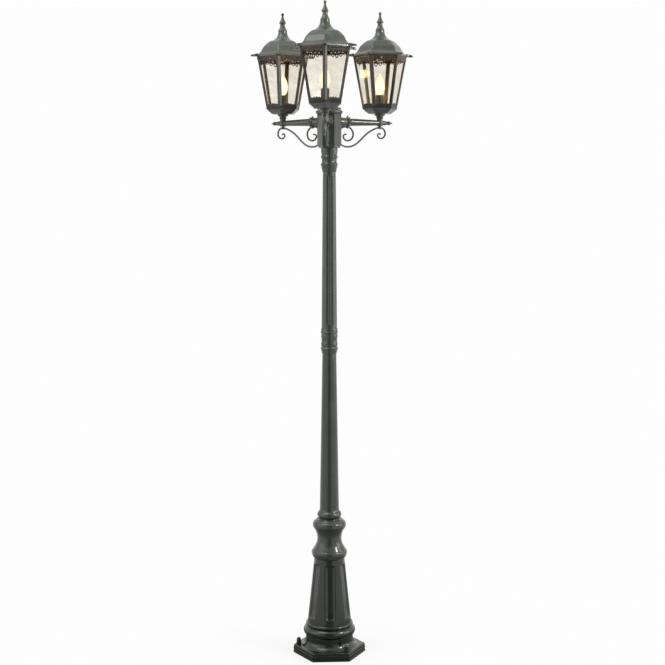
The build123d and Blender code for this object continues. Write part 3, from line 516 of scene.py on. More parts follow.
# The cages' paint, with the bulbs' copper glow painted over it in patches towards the fringes.
CAGE_PAINT_WITH_GLOW = BulbGlowPaint(
    "cage_paint_with_glow",
    dark=(0.013, 0.015, 0.011),
    light=(0.028, 0.03, 0.023),
    bloom=(0.055, 0.055, 0.044),
    gloss=0.26,
    coat=0.1,
    shine=0.32,
)
ZINC = PlatedSteel("zinc_steel")
BRASS = PlatedSteel("nipple_brass", tint=(0.7, 0.5, 0.22))
TERMINAL = Moulded("terminal_plastic")
HOLDER = Moulded("holder_plastic", tint=(0.085, 0.075, 0.055), rough=0.4)
SHEATH = Moulded("cable_sheath", tint=(0.03, 0.03, 0.03), rough=0.6)
SLEEVE = Moulded("lead_sleeve", tint=(0.6, 0.57, 0.5), rough=0.6)
PANE = WavyGlass("pane_glass")
LIT = LitGlass("bulb_glass")


# ---- shapes -----------------------------------------------------------------------------------------
def trace(start: Point, *steps: Point | tuple[Point, Point], finer: int = 9) -> list[Point]:
    """Follow lines and arcs as a list of points.

    Args:
        start: The first point.
        steps: The next point of a line, or an arc's middle and end.
        finer: How many pieces an arc is cut into.

    Returns:
        The points.
    """
    points = [start]
    for step in steps:
        if not isinstance(step[0], tuple):
            points.append(step)
            continue
        middle, end = Vector(step[0]), Vector(step[1])
        begin = Vector(points[-1])
        centre = circle_centre(begin, middle, end)
        if centre is None:
            points.append(tuple(end))
            continue
        spoke = begin - centre
        turn = signed_angle(spoke, middle - centre) + signed_angle(middle - centre, end - centre)
        for i in range(1, finer + 1):
            turned = Matrix.Rotation(turn * i / finer, 2) @ spoke
            points.append(tuple(centre + turned))
    return points


def circle_centre(a: Vector, b: Vector, c: Vector) -> Vector | None:
    """Find the centre of the circle through three points.

    Args:
        a: The first point.
        b: The second point.
        c: The third point.

    Returns:
        The centre, or None if they are in line.
    """
    d = 2 * (a.x * (b.y - c.y) + b.x * (c.y - a.y) + c.x * (a.y - b.y))
    if abs(d) < 1e-6:
        return None
    aa, bb, cc = a.dot(a), b.dot(b), c.dot(c)
    x = (aa * (b.y - c.y) + bb * (c.y - a.y) + cc * (a.y - b.y)) / d
    y = (aa * (c.x - b.x) + bb * (a.x - c.x) + cc * (b.x - a.x)) / d
    return Vector((x, y))


def signed_angle(a: Vector, b: Vector) -> float:
    """Give the anticlockwise angle from one direction to another."""
    return math.atan2(a.x * b.y - a.y * b.x, a.dot(b))


def eased(points: Sequence[Point], cut: float = 0.8) -> list[Point]:
    """Round every sharp corner of an outline a little.

    Args:
        points: The outline.
        cut: How far from a corner its rounding starts.

    Returns:
        The outline with its corners eased.
    """
    result = [points[0]]
    for before, here, after in zip(points, points[1:], points[2:]):
        a, p, b = Vector(before), Vector(here), Vector(after)
        run_in, run_out = p - a, b - p
        if run_in.length < 1e-6 or run_out.length < 1e-6 or abs(signed_angle(run_in, run_out)) < 0.5:
            result.append(here)
            continue
        first = p - run_in.normalized() * min(cut, run_in.length * 0.45)
        last = p + run_out.normalized() * min(cut, run_out.length * 0.45)
        for t in (0.0, 0.33, 0.67, 1.0):
            result.append(tuple(first * (1 - t) ** 2 + p * (2 * t * (1 - t)) + last * t**2))
    return [*result, points[-1]]


def hexagon(flat: float, crisp: float = 90.0, turn: float = 30.0) -> Radial:
    """A hexagon as a radius for every angle, its corners softer where crisp is low; 2 is a circle.

    Args:
        flat: The distance from the axis to a side's middle.
        crisp: How sharp its corners are.
        turn: The direction of a side's middle, in degrees.

    Returns:
        The radius as a function of the angle.
    """
    scale = flat * (1 + 2 * 0.5**crisp) ** (1 / crisp)
    sides = [math.radians(turn + 60 * i) for i in range(3)]

    def radius(angle: float) -> float:
        """Radius at an angle."""
        return scale / sum(abs(math.cos(angle - s)) ** crisp for s in sides) ** (1 / crisp)

    return radius


def smooth(share: float) -> float:
    """Ease a share from 0 to 1 with level ends."""
    held = min(1.0, max(0.0, share))
    return held * held * (3 - 2 * held)


def bearing(vert: bmesh.types.BMVert) -> float:
    """Where a vertex stands round the upright axis, to put a ring's vertices in order."""
    return (math.atan2(vert.co.y, vert.co.x) + 1e-6) % math.tau


def even_angles(count: int) -> list[float]:
    """Angles evenly round the circle."""
    return [math.tau * i / count for i in range(count)]


def corner_angles(turn: float = 0.0) -> list[float]:
    """Angles that crowd towards a hexagon's corners, the first corner at a turn in degrees.

    Args:
        turn: The first corner's direction, in degrees.

    Returns:
        The angles, in radians.
    """
    near = (0.0, 0.6, 1.4, 2.8, 5.5, 10.0, 16.0, 23.0, 30.0)
    half = [*near, *(60.0 - a for a in near[-2:0:-1])]
    return [math.radians(turn + 60 * side + a) for side in range(6) for a in half]


class Form:
    """One piece's mesh while it is made, in millimetres."""

    def __init__(self) -> None:
        """Start with an empty mesh."""
        self.mesh = bmesh.new()

    def lathe(self, profile: Sequence[Point], steps: int = 96, cut: float = 0.8) -> Form:
        """Spin an outline of (radius, height) round the upright axis.

        Args:
            profile: The outline.
            steps: How many facets go round.
            cut: How much its corners are eased.

        Returns:
            This form.
        """
        verts = [self.mesh.verts.new((r, 0.0, z)) for r, z in eased(profile, cut)]
        edges = [self.mesh.edges.new(pair) for pair in zip(verts, verts[1:])]
        bmesh.ops.spin(
            self.mesh,
            geom=[*verts, *edges],
            cent=(0, 0, 0),
            axis=(0, 0, 1),
            angle=math.tau,
            steps=steps,
            use_merge=True,
        )
        return self

    def loft(self, rings: Sequence[tuple[Radial, float]], angles: Spots, capped: bool = False) -> Form:
        """Bridge rings that each give a radius for every angle.

        A ring is bridged while it lies on the ring before it, so that the faces can't twist, and then moved.

        Args:
            rings: Each ring's radius function and height.
            angles: Where the rings have vertices, or a function that gives as many for each height.
            capped: True closes both ends.

        Returns:
            This form.
        """
        before: list[bmesh.types.BMEdge] = []
        last: list[Vector] = []
        for number, (radius, z) in enumerate(rings):
            closed = capped and number in (0, len(rings) - 1)
            spots = angles(z) if callable(angles) else angles
            drawn = bmesh.ops.create_circle(self.mesh, cap_ends=closed, radius=1.0, segments=len(spots))
            made = sorted(drawn["verts"], key=bearing)
            places = [Vector((radius(a) * math.cos(a), radius(a) * math.sin(a), z)) for a in spots]
            edges = list({e for v in made for e in v.link_edges})
            for vert, place in zip(made, last or places):
                vert.co = place + LIFT
            if before:
                bmesh.ops.bridge_loops(self.mesh, edges=[*before, *edges])
            for vert, place in zip(made, places):
                vert.co = place
            before, last = edges, places
        return self

    def tube(self, path: Sequence[Vector], radii: Sequence[float], sides: int = 12) -> Form:
        """Run a round section along a path.

        Args:
            path: The points of its centre line.
            radii: The section's radius at each point.
            sides: How many sides the section has.

        Returns:
            This form.
        """
        before: list[bmesh.types.BMEdge] = []
        across = Vector((0, 1, 0))
        for i, (point, radius) in enumerate(zip(path, radii)):
            ahead = (path[min(i + 1, len(path) - 1)] - path[max(i - 1, 0)]).normalized()
            up = ahead.cross(across).normalized()
            turn = Matrix((across, up, ahead)).transposed().to_4x4()
            matrix = Matrix.Translation(point) @ turn @ Matrix.Diagonal((radius, radius, 1, 1))
            closed = i in (0, len(path) - 1)
            drawn = bmesh.ops.create_circle(
                self.mesh, cap_ends=closed, radius=1.0, segments=sides, matrix=matrix
            )
            edges = list({e for v in drawn["verts"] for e in v.link_edges})
            if before:
                bmesh.ops.bridge_loops(self.mesh, edges=[*before, *edges])
            before = edges
        return self

    def plate(self, outlines: Sequence[Sequence[Point]], thickness: float, edge: float = 0.3) -> Form:
        """Fill a flat outline, less the outlines inside it, and give it thickness and eased edges.

        Args:
            outlines: The outer outline, then the holes, in the XY plane.
            thickness: How thick the plate is, centred on the plane.
            edge: How far its edges are eased.

        Returns:
            This form.
        """
        curve = bpy.data.curves.new("plate", "CURVE")
        curve.dimensions = "2D"
        curve.fill_mode = "BOTH"
        curve.extrude = thickness / 2 - edge
        curve.bevel_depth = edge
        curve.bevel_resolution = 1
        curve.offset = -edge
        for outline in outlines:
            spline = curve.splines.new("POLY")
            spline.points.add(len(outline) - 1)
            for spot, (x, y) in zip(spline.points, outline):
                spot.co = (x, y, 0, 1)
            spline.use_cyclic_u = True
        holder = bpy.data.objects.new("plate", curve)
        made = bpy.data.meshes.new_from_object(holder)
        self.mesh.from_mesh(made)
        bpy.data.objects.remove(holder)
        bpy.data.curves.remove(curve)
        bpy.data.meshes.remove(made)
        return self

    def add(self, other: Form, matrix: Matrix) -> Form:
        """Put a copy of another form into this one.

        Args:
            other: The form to copy.
            matrix: Where the copy goes.

        Returns:
            This form.
        """
        copy = bpy.data.meshes.new("copy")
        other.mesh.to_mesh(copy)
        copy.transform(matrix)
        self.mesh.from_mesh(copy)
        bpy.data.meshes.remove(copy)
        return self

    def around(self, other: Form, count: int, start: float = 0.0) -> Form:
        """Put copies of another form round the upright axis.

        Args:
            other: The form to copy.
            count: How many copies.
            start: The first copy's direction, in degrees.

        Returns:
            This form.
        """
        for i in range(count):
            self.add(other, Matrix.Rotation(math.radians(start + 360 / count * i), 4, "Z"))
        return self

    def finish(
        self, name: str, where: Matrix, finish: Finish, body: str, nodes: Sequence[str], slot: str
    ) -> bpy.types.Object:
        """Clean the mesh and make the finished object.

        Args:
            name: The piece's name.
            where: Where the form goes, in millimetres.
            finish: Its finish.
            body: The frame's body that it rides on.
            nodes: The solids that it stands for.
            slot: The record's material slot; not used.

        Returns:
            The object.
        """
        bmesh.ops.remove_doubles(self.mesh, verts=self.mesh.verts, dist=MERGE_GAP)
        bmesh.ops.recalc_face_normals(self.mesh, faces=self.mesh.faces)
        made = bpy.data.meshes.new(name)
        self.mesh.to_mesh(made)
        self.mesh.free()
        made.transform(Matrix.Scale(MM, 4) @ where)
        for polygon in made.polygons:
            polygon.use_smooth = True
        made.set_sharp_from_angle(angle=SHARP_EDGE)
        made.materials.append(finish.material())
        piece = bpy.data.objects.new(name, made)
        bpy.context.scene.collection.objects.link(piece)
        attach(piece, body)
        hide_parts(*nodes)
        log.info("%s: %d faces on %s", name, len(made.polygons), body)
        return piece


HERE = Matrix.Identity(4)
ALONG_X = Matrix.Rotation(math.radians(90), 4, "Y")


def on_head(number: int) -> Matrix:
    """Turn from an arm drawn along +X to its own direction; arm 0 points to the front."""
    return Matrix.Rotation(math.radians(-90 + HEAD_TURN + 120 * number), 4, "Z")


def on_arm(number: int) -> Matrix:
    """Place a piece drawn on a lantern's own axis at the end of its arm."""
    turn = Matrix.Rotation(math.radians(LANTERN_TURNS[number]), 4, "Z")
    return on_head(number) @ Matrix.Translation((ARM_REACH, 0, 0)) @ turn


# ---- post -------------------------------------------------------------------------------------------
@dataclass
class Foot:
    """Hexagonal plate with a stepped side, a flared neck and domed anchor nuts."""

    corner: float = 128.0
    height: float = 30.0
    wall: float = 6.0
    hollow: float = 24.0
    neck: float = 82.8
    neck_top: float = 68.0
    flare: float = 98.0
    flare_top: float = 57.0
    anchor_reach: float = 108.0
    nut_flats: float = 16.0
    nut_height: float = 24.0
    nut_dome: float = 7.5

    def plate(self) -> Form:
        """Make the plate and neck as one casting, open underneath.

        Returns:
            The form.
        """
        flat = self.corner * COS30
        stations = [
            (flat - self.wall, self.hollow, 120),
            (flat - self.wall, 0.0, 120),
            (flat - 0.6, 0.0, 120),
            (flat, 0.6, 120),
            (flat, 6.5, 120),
            (flat - 1.3, 7.3, 120),
            (flat - 1.3, 12.5, 120),
            (flat - 0.2, 13.3, 120),
            (flat - 0.2, 18.6, 120),
            (flat - 1.6, 19.4, 120),
            (flat - 1.6, 25.5, 120),
            (flat - 2.2, 27.6, 100),
            (flat - 3.6, 29.2, 90),
            (flat - 5.4, 29.9, 80),
            (flat - 8.5, self.height, 40),
            (self.flare + 0.5, self.height, 2),
        ]
        rings = [(hexagon(reach, crisp), z) for reach, z, crisp in stations]
        form = Form().loft(rings, corner_angles())
        middle = self.height + 0.36 * (self.flare_top - self.height)
        neck = trace(
            (self.flare + 0.5, self.height),
            (self.flare - 1.5, self.height + 1.5),
            ((self.neck + 3.8, middle), (self.neck, self.flare_top)),
            (self.neck, self.neck_top),
            (self.neck - self.wall, self.neck_top),
            (self.neck - self.wall, self.hollow),
        )
        return form.lathe(neck, 120)

    def nut(self) -> Form:
        """Make one domed hexagonal nut.

        Returns:
            The form.
        """
        form = Form()
        flat = self.nut_flats / 2
        sides = [(flat - 0.8, 0.0), (flat, 0.7), (flat, 6.3), (flat - 0.7, 7.0)]
        form.loft([(hexagon(r, 60), z) for r, z in sides], corner_angles(), capped=True)
        dome = self.nut_height - self.nut_dome
        rise = self.nut_dome * math.sin(math.radians(45))
        crown = ((rise, dome + rise), (0.0, self.nut_height))
        return form.lathe(trace((self.nut_dome, 6.0), (self.nut_dome, dome), crown), 48)

    def build(self) -> None:
        """Make and dress the foot's pieces."""
        self.plate().finish("foot_casting", HERE, FOOT_PAINT, Family.POST.body(), ["base_foot"], "foot_paint")
        placed = Form().add(self.nut(), Matrix.Translation((self.anchor_reach, 0, self.height)))
        nuts = Form().around(placed, 3, 60)
        nuts.finish("anchor_nuts_domed", HERE, NUT_PAINT, Family.POST.body(), ["anchor_nuts"], "zinc_steel")


@dataclass
class Pedestal:
    """Torus, bead and a cone with six recessed panels."""

    base: float = 68.0
    top: float = 341.0
    wall: float = 6.0
    neck: float = 82.8
    torus: float = 90.8
    torus_top: float = 100.0
    cone_base: float = 113.0
    cone_foot: float = 76.3
    cone_head: float = 53.0
    panel_low: float = 135.0
    panel_high: float = 321.0
    panel_floor: float = 8.0
    panel_half: float = 19.5
    panel_depth: float = 6.4
    panel_end: float = 3.0

    def cone(self, z: float) -> float:
        """The cone's radius at a height."""
        up = (z - self.cone_base) / (self.top - self.cone_base)
        return self.cone_foot + (self.cone_head - self.cone_foot) * up

    def spots(self, z: float) -> list[float]:
        """The angles of a ring's vertices, close together over the panels' rounded sides, which are parallel.

        Args:
            z: The ring's height.

        Returns:
            The angles, in radians.
        """
        slope = self.panel_half - self.panel_floor
        steps = [0.0, 4.0, *(self.panel_floor + slope * i / 9 for i in range(10)), self.panel_half + 2.5]
        half = [math.degrees(math.asin(step / self.cone(z))) for step in steps]
        half += [half[-1] + (30 - half[-1]) * share for share in (0.4, 0.75)]
        sector = [*(30 - a for a in reversed(half[1:])), *(30 + a for a in half)]
        return [math.radians(60 * side + a) for side in range(6) for a in (0.0, *sector)]

    def recess(self, z: float) -> Radial:
        """A ring of the cone with its panels sunk, as hollows with rounded sides and ends.

        Args:
            z: The ring's height.

        Returns:
            The radius as a function of the angle.
        """
        radius = self.cone(z)
        end = min(z - self.panel_low, self.panel_high - z)
        share = smooth((end + self.panel_end) / (2 * self.panel_end))

        def at(angle: float) -> float:
            """Radius at an angle.

            Args:
                angle: The angle, in radians.

            Returns:
                The radius.
            """
            off = radius * abs(math.sin(math.radians((math.degrees(angle) % 60) - 30)))
            hollow = smooth((self.panel_half - off) / (self.panel_half - self.panel_floor))
            return radius - self.panel_depth * share * hollow

        return at

    def build(self) -> None:
        """Make and dress the pedestal."""
        moulding = trace(
            (self.neck - self.wall, self.base),
            (self.neck, self.base),
            ((self.torus, 84.0), (78.5, self.torus_top)),
            (78.9, self.torus_top + 0.6),
            ((82.5, 106.5), (self.cone_foot, self.cone_base)),
            finer=14,
        )
        form = Form().lathe(moulding, 120, 0.5)
        low, high, end = self.panel_low, self.panel_high, self.panel_end
        rise = [-end + 2 * end * i / 6 for i in range(7)]
        levels = [self.cone_base, low - 2 * end, *(low + d for d in rise)]
        levels += [low + (high - low) * i / 6 for i in range(1, 6)]
        levels += [*(high - d for d in reversed(rise)), high + 2 * end, self.top - 2, self.top - 0.5]
        rings = [(self.recess(z), z) for z in levels]
        rings += [(hexagon(self.cone_head - inset, 2), self.top) for inset in (0.4, self.wall)]
        form.loft(rings, self.spots)
        form.finish("pedestal_casting", HERE, FOOT_PAINT, Family.POST.body(), ["pedestal"], "post_paint")


@dataclass
class Column:
    """Everything between the pedestal and the hub: collar, tubes, coupling and neck."""

    urn_base: float = 341.0
    urn_height: float = 167.0
    tube_foot: float = 33.7
    tube_head: float = 24.4
    coupling_base: float = 1063.0
    coupling_height: float = 87.0
    upper_foot: float = 26.7
    upper_head: float = 22.1
    neck_base: float = 1684.0
    neck_height: float = 81.0
    flutes: int = 12
    flute_depth: float = 1.4

    def urn(self) -> Form:
        """Make the two-lobed collar.

        Returns:
            The form.
        """
        profile = trace(
            (50.0, 0.0),
            (53.6, 0.0),
            ((59.2, 8.0), (62.0, 17.5)),
            (62.5, 20.8),
            (61.8, 24.2),
            ((60.6, 27.0), (58.8, 29.2)),
            (57.5, 29.8),
            (57.0, 31.4),
            ((53.8, 36.8), (51.5, 41.0)),
            (50.6, 41.4),
            (50.0, 42.8),
            ((44.6, 56.0), (42.6, 71.0)),
            ((45.6, 90.0), (53.5, 106.0)),
            ((57.4, 112.0), (58.2, 119.0)),
            ((56.4, 127.5), (49.4, 134.0)),
            (46.4, 135.8),
            (44.6, 138.6),
            (43.2, 138.6),
            (42.0, 136.2),
            (36.4, 138.6),
            (35.4, 140.8),
            (37.0, 143.6),
            ((42.4, 156.0), (36.6, 166.4)),
            (36.2, self.urn_height),
            (33.7, self.urn_height),
            finer=16,
        )
        return Form().lathe([(r, z + self.urn_base) for r, z in profile], 120, 0.9)

    def coupling(self) -> Form:
        """Make the ringed coupling.

        Returns:
            The form.
        """
        z, h = self.coupling_base, self.coupling_height
        profile = trace(
            (24.4, z),
            (25.9, z),
            (28.7, z + 0.2 * h - 4),
            ((30.2, z + 0.2 * h), (28.7, z + 0.2 * h + 2.5)),
            (27.3, z + 0.2 * h + 6),
            (29.2, z + 0.36 * h),
            ((27.3, z + 0.52 * h), (29.2, z + 0.68 * h)),
            (27.3, z + 0.84 * h - 6),
            (28.7, z + 0.84 * h - 2.5),
            ((30.2, z + 0.84 * h), (28.7, z + 0.84 * h + 3)),
            (28.2, z + h),
            (26.7, z + h),
        )
        return Form().lathe(profile, 96, 1.2)

    def fluted(self, radius: float, share: float) -> Radial:
        """A ring of the fluted tube.

        Args:
            radius: The tube's plain radius.
            share: From 0, plain, to 1, the flutes' full depth.

        Returns:
            The radius as a function of the angle.
        """

        def at(angle: float) -> float:
            """Radius at an angle.

            Args:
                angle: The angle, in radians.

            Returns:
                The radius.
            """
            pitch = 360 / self.flutes
            off = abs((math.degrees(angle) % pitch) - pitch / 2) / (pitch / 2)
            bowl = max(0.0, 1 - (off / (0.76 * math.sqrt(max(share, 0.02)))) ** 2)
            return radius - self.flute_depth * share * bowl

        return at

    def upper_tube(self) -> Form:
        """Make the fluted tube; each flute ends in a round.

        Returns:
            The form.
        """
        low, high = self.coupling_base + self.coupling_height, self.neck_base
        ends = [(0.0, 0.0), (12.0, 0.0), (12.6, 0.25), (13.6, 0.5), (15.2, 0.75), (17.2, 0.93), (19.5, 1.0)]
        stations = [*((low + d, s) for d, s in ends), *((high - d, s) for d, s in reversed(ends))]
        slope = (self.upper_head - self.upper_foot) / (high - low)
        rings = [(self.fluted(self.upper_foot + slope * (z - low), share), z) for z, share in stations]
        return Form().loft(rings, even_angles(self.flutes * 16))

    def neck(self) -> Form:
        """Make the ringed neck under the hub.

        Returns:
            The form.
        """
        z, h = self.neck_base, self.neck_height
        profile = trace(
            (22.1, z),
            (23.6, z),
            (28.3, z + 0.32 * h - 3),
            ((29.8, z + 0.32 * h), (27.8, z + 0.32 * h + 3)),
            ((25.5, z + 0.47 * h), (27.8, z + 0.63 * h - 3)),
            ((29.8, z + 0.63 * h), (28.3, z + 0.63 * h + 3)),
            (26.5, z + 0.63 * h + 7),
            (28.5, z + h - 12),
            (28.5, z + h),
            (24.0, z + h),
        )
        return Form().lathe(profile, 96, 1.0)

    def build(self) -> None:
        """Make and dress the column's pieces."""
        foot = self.urn_base + self.urn_height
        flare = ((self.tube_foot + 0.5, foot + 5), (self.tube_foot - 0.1, foot + 10))
        ends = trace((self.tube_foot + 2.5, foot), flare, (self.tube_head, self.coupling_base))
        for name, form, node in (
            ("urn_collar_turned", self.urn(), "urn_collar"),
            ("lower_tube_plain", Form().lathe(ends, 96), "lower_tube"),
            ("coupling_ringed", self.coupling(), "mid_coupling"),
            ("upper_tube_fluted", self.upper_tube(), "upper_tube"),
            ("neck_ringed", self.neck(), "top_collar"),
        ):
            form.finish(name, HERE, POST_PAINT, Family.POST.body(), [node], "post_paint")


# ---- head -------------------------------------------------------------------------------------------
@dataclass
class Hub:
    """Hexagonal hub and its cap."""

    corner: float = 41.5
    base: float = HUB_Z
    top: float = HUB_TOP_Z
    rim: float = 46.0
    crown: float = 30.0
    cap_height: float = 34.0

    def build(self) -> None:
        """Make and dress the hub and its cap."""
        flat = self.corner * COS30
        stations = [
            (24.2, self.base, 2),
            (flat - 5.6, self.base, 40),
            (flat - 4.8, self.base + 0.8, 60),
            (flat - 0.3, self.base + 9.6, 90),
            (flat, self.base + 10.6, 90),
            (flat, self.top - 0.6, 90),
            (flat - 0.5, self.top, 90),
            (flat - 4, self.top, 90),
        ]
        rings = [(hexagon(reach, crisp, 0.0), z) for reach, z, crisp in stations]
        form = Form().loft(rings, corner_angles(30))
        form.finish("hub_casting", on_head(0), HEAD_PAINT, Family.HEAD.body(), ["hub"], "head_paint")
        z = self.top
        cap = trace(
            (flat - 4, z - 5),
            (flat - 4, z),
            (self.rim - 3, z),
            (self.rim, z + 4),
            (self.rim, z + 9),
            ((41.5, z + 13), (40.0, z + 20)),
            (self.crown, z + 23),
            ((self.crown * 0.52, z + 31.2), (0.0, z + self.cap_height)),
        )
        lid = Form().lathe(cap, 96, 1.0)
        lid.finish("hub_cap_moulded", HERE, HEAD_PAINT, Family.HEAD.body(), ["hub_cap"], "head_paint")


@dataclass
class Arm:
    """One arm along +X: cone, boss, leafy collar, pointed ball and the two scrolled brackets."""

    number: int
    face: float = 35.94
    root: float = 16.5
    near: float = 13.0
    far: float = 8.8
    collar: float = 70.0
    boss: float = 11.0
    end: float = 221.0
    bar: float = 3.2

    def body(self) -> Form:
        """Make the arm's cone and the upright boss under the lantern.

        Returns:
            The form.
        """
        form = Form()
        cone = trace(
            (self.face, 0.0),
            (self.face, self.root),
            (self.face + 2.5, self.root),
            (self.collar - 6, 14.5),
            (self.collar - 6, self.near),
            (self.collar + 6, self.near),
            (ARM_REACH, self.far),
            (self.end - 3, 7.5),
            (self.end, 5.5),
            (self.end, 0.0),
        )
        form.add(Form().lathe([(r, x) for x, r in cone], 64, 0.7), ALONG_X)
        wide, low, high = self.boss, -11.0, 10.0
        boss = [(0, low), (wide - 1, low), (wide, low + 1), (wide, high - 1), (wide - 1, high), (0, high)]
        form.add(Form().lathe(boss, 48, 0.5), Matrix.Translation((ARM_REACH, 0, 0)))
        return form

    def leaves(self) -> Form:
        """Make the collar: a ring of eight pointed leaves that curl outwards.

        Returns:
            The form.
        """

        def petal(base: float, reach: float, thin: float) -> Radial:
            """Radius of a leafy ring.

            Args:
                base: The radius between the leaves.
                reach: How far the leaves' points stand out from it.
                thin: How narrow the leaves are.

            Returns:
                The radius as a function of the angle.
            """
            return lambda angle: base + reach * abs(math.cos(angle * 4)) ** thin

        stations = [
            (petal(13.0, 0.0, 1), -6.0),
            (petal(15.2, 0.3, 2), -6.0),
            (petal(16.6, 1.4, 3), -3.2),
            (petal(17.0, 4.2, 5), -1.2),
            (petal(16.9, 6.0, 7), 0.4),
            (petal(16.3, 5.6, 7), 1.9),
            (petal(15.4, 1.6, 4), 2.4),
            (petal(14.9, 0.5, 2), 4.0),
            (petal(14.2, 0.2, 2), 6.0),
            (petal(13.0, 0.0, 1), 6.0),
        ]
        ring = Form().loft(stations, even_angles(96))
        return Form().add(ring, Matrix.Translation((self.collar, 0, 0)) @ ALONG_X)

    def tip(self) -> Form:
        """Make the pointed ball.

        Returns:
            The form.
        """
        x = self.end
        ball = trace(
            (x, 0.0),
            (x, 4.5),
            (x + 2.5, 4.5),
            ((x + 8.5, 7.0), (x + 14.1, 4.34)),
            (x + 23, 1.0),
            (x + 24, 0.0),
        )
        return Form().add(Form().lathe([(r, d) for d, r in ball], 40, 0.4), ALONG_X)

    def arcs(self, points: Sequence[Point], heading: Point, finer: int = 10) -> list[Vector]:
        """Follow arcs, each tangent to the one before, in the arm's upright plane.

        Args:
            points: Where the arcs meet.
            heading: The first arc's direction.
            finer: How many pieces each arc is cut into.

        Returns:
            The points of the line.
        """
        line = [Vector(points[0])]
        ahead = Vector(heading).normalized()
        for goal in points[1:]:
            here, there = line[-1], Vector(goal)
            chord = there - here
            bend = signed_angle(ahead, chord)
            radius = chord.length / (2 * math.sin(bend)) if abs(bend) > 1e-4 else 1e6
            centre = here + Vector((-ahead.y, ahead.x)) * radius
            for i in range(1, finer + 1):
                line.append(centre + Matrix.Rotation(2 * bend * i / finer, 2) @ (here - centre))
            ahead = Matrix.Rotation(2 * bend, 2) @ ahead
        return [Vector((p.x, 0, p.y)) for p in line]

    def brackets(self) -> Form:
        """Make the long S under the arm and the C beside the hub, with their buds.

        Returns:
            The form.
        """
        inside, top, eye = self.face - 0.4, -16.0, 18.0
        far = ARM_REACH + eye + 3.5
        root = inside - 2.6
        long_s = [
            (root, -61.5),
            (67, -83.5),
            (105, -71.5),
            (129, (top - 83.5) / 2 - 1),
            (ARM_REACH - 4, top),
            (far, top - 19.5),
            (ARM_REACH + 6, top - 2 * eye - 0.5),
            (ARM_REACH - 7.5, top - 27.5),
            (ARM_REACH + 2, top - 22),
        ]
        short_c = [(root, -33.6), (67, -15.6), (91, -38.6), (68, -62.6), (53.5, -49.6), (63, -41.6)]
        form = Form()
        for points, heading, clip, height in (
            (long_s, (0.43, -0.9), ARM_REACH, top),
            (short_c, (0.5, 0.87), 69.0, -15.6),
        ):
            line = self.arcs(points, heading)
            count = len(line)
            radii = [self.bar * (1.0 - 0.25 * max(0.0, (i / count - 0.7) / 0.3)) for i in range(count)]
            form.tube(line, radii, 12)
            knob = Form().lathe(trace((0, -3.3), ((3.3, 0), (0, 3.3))), 16)
            form.add(knob, Matrix.Translation(line[-1]))
            form.add(self.bud(), Matrix.Translation((clip, 0, height)))
        return form

    def bud(self) -> Form:
        """Make the bud that clips a bracket to what is over it.

        Returns:
            The form.
        """
        form = Form()
        for turn in (-62, -31, 31, 62):
            rings = [(hexagon(r, 2), z) for r, z in ((0.8, -1.0), (2.2, 2.2), (1.9, 4.8), (0.3, 7.6))]
            leaf = Form().loft(rings, even_angles(12), capped=True)
            form.add(leaf, Matrix.Rotation(math.radians(turn), 4, "Y") @ Matrix.Translation((0, 0, -1.5)))
        block = trace((0, -5), (4.2, -5), ((5.6, -1), (4.2, 3.5)), (4.6, 6.5), (0, 6.5))
        return form.lathe(block, 24, 0.5)

    def build(self) -> None:
        """Make and dress the arm's pieces."""
        n = self.number + 1
        where = on_head(self.number) @ Matrix.Translation((0, 0, ARM_Z))
        for name, form, node in (
            (f"arm_cone_{n}", self.body(), f"arm_{n}"),
            (f"arm_leaf_collar_{n}", self.leaves(), f"arm_collar_{n}"),
            (f"arm_point_{n}", self.tip(), f"arm_tip_{n}"),
            (f"scroll_brackets_{n}", self.brackets(), f"scroll_{n}"),
        ):
            form.finish(name, where, HEAD_PAINT, Family.HEAD.body(), [node], "head_paint")


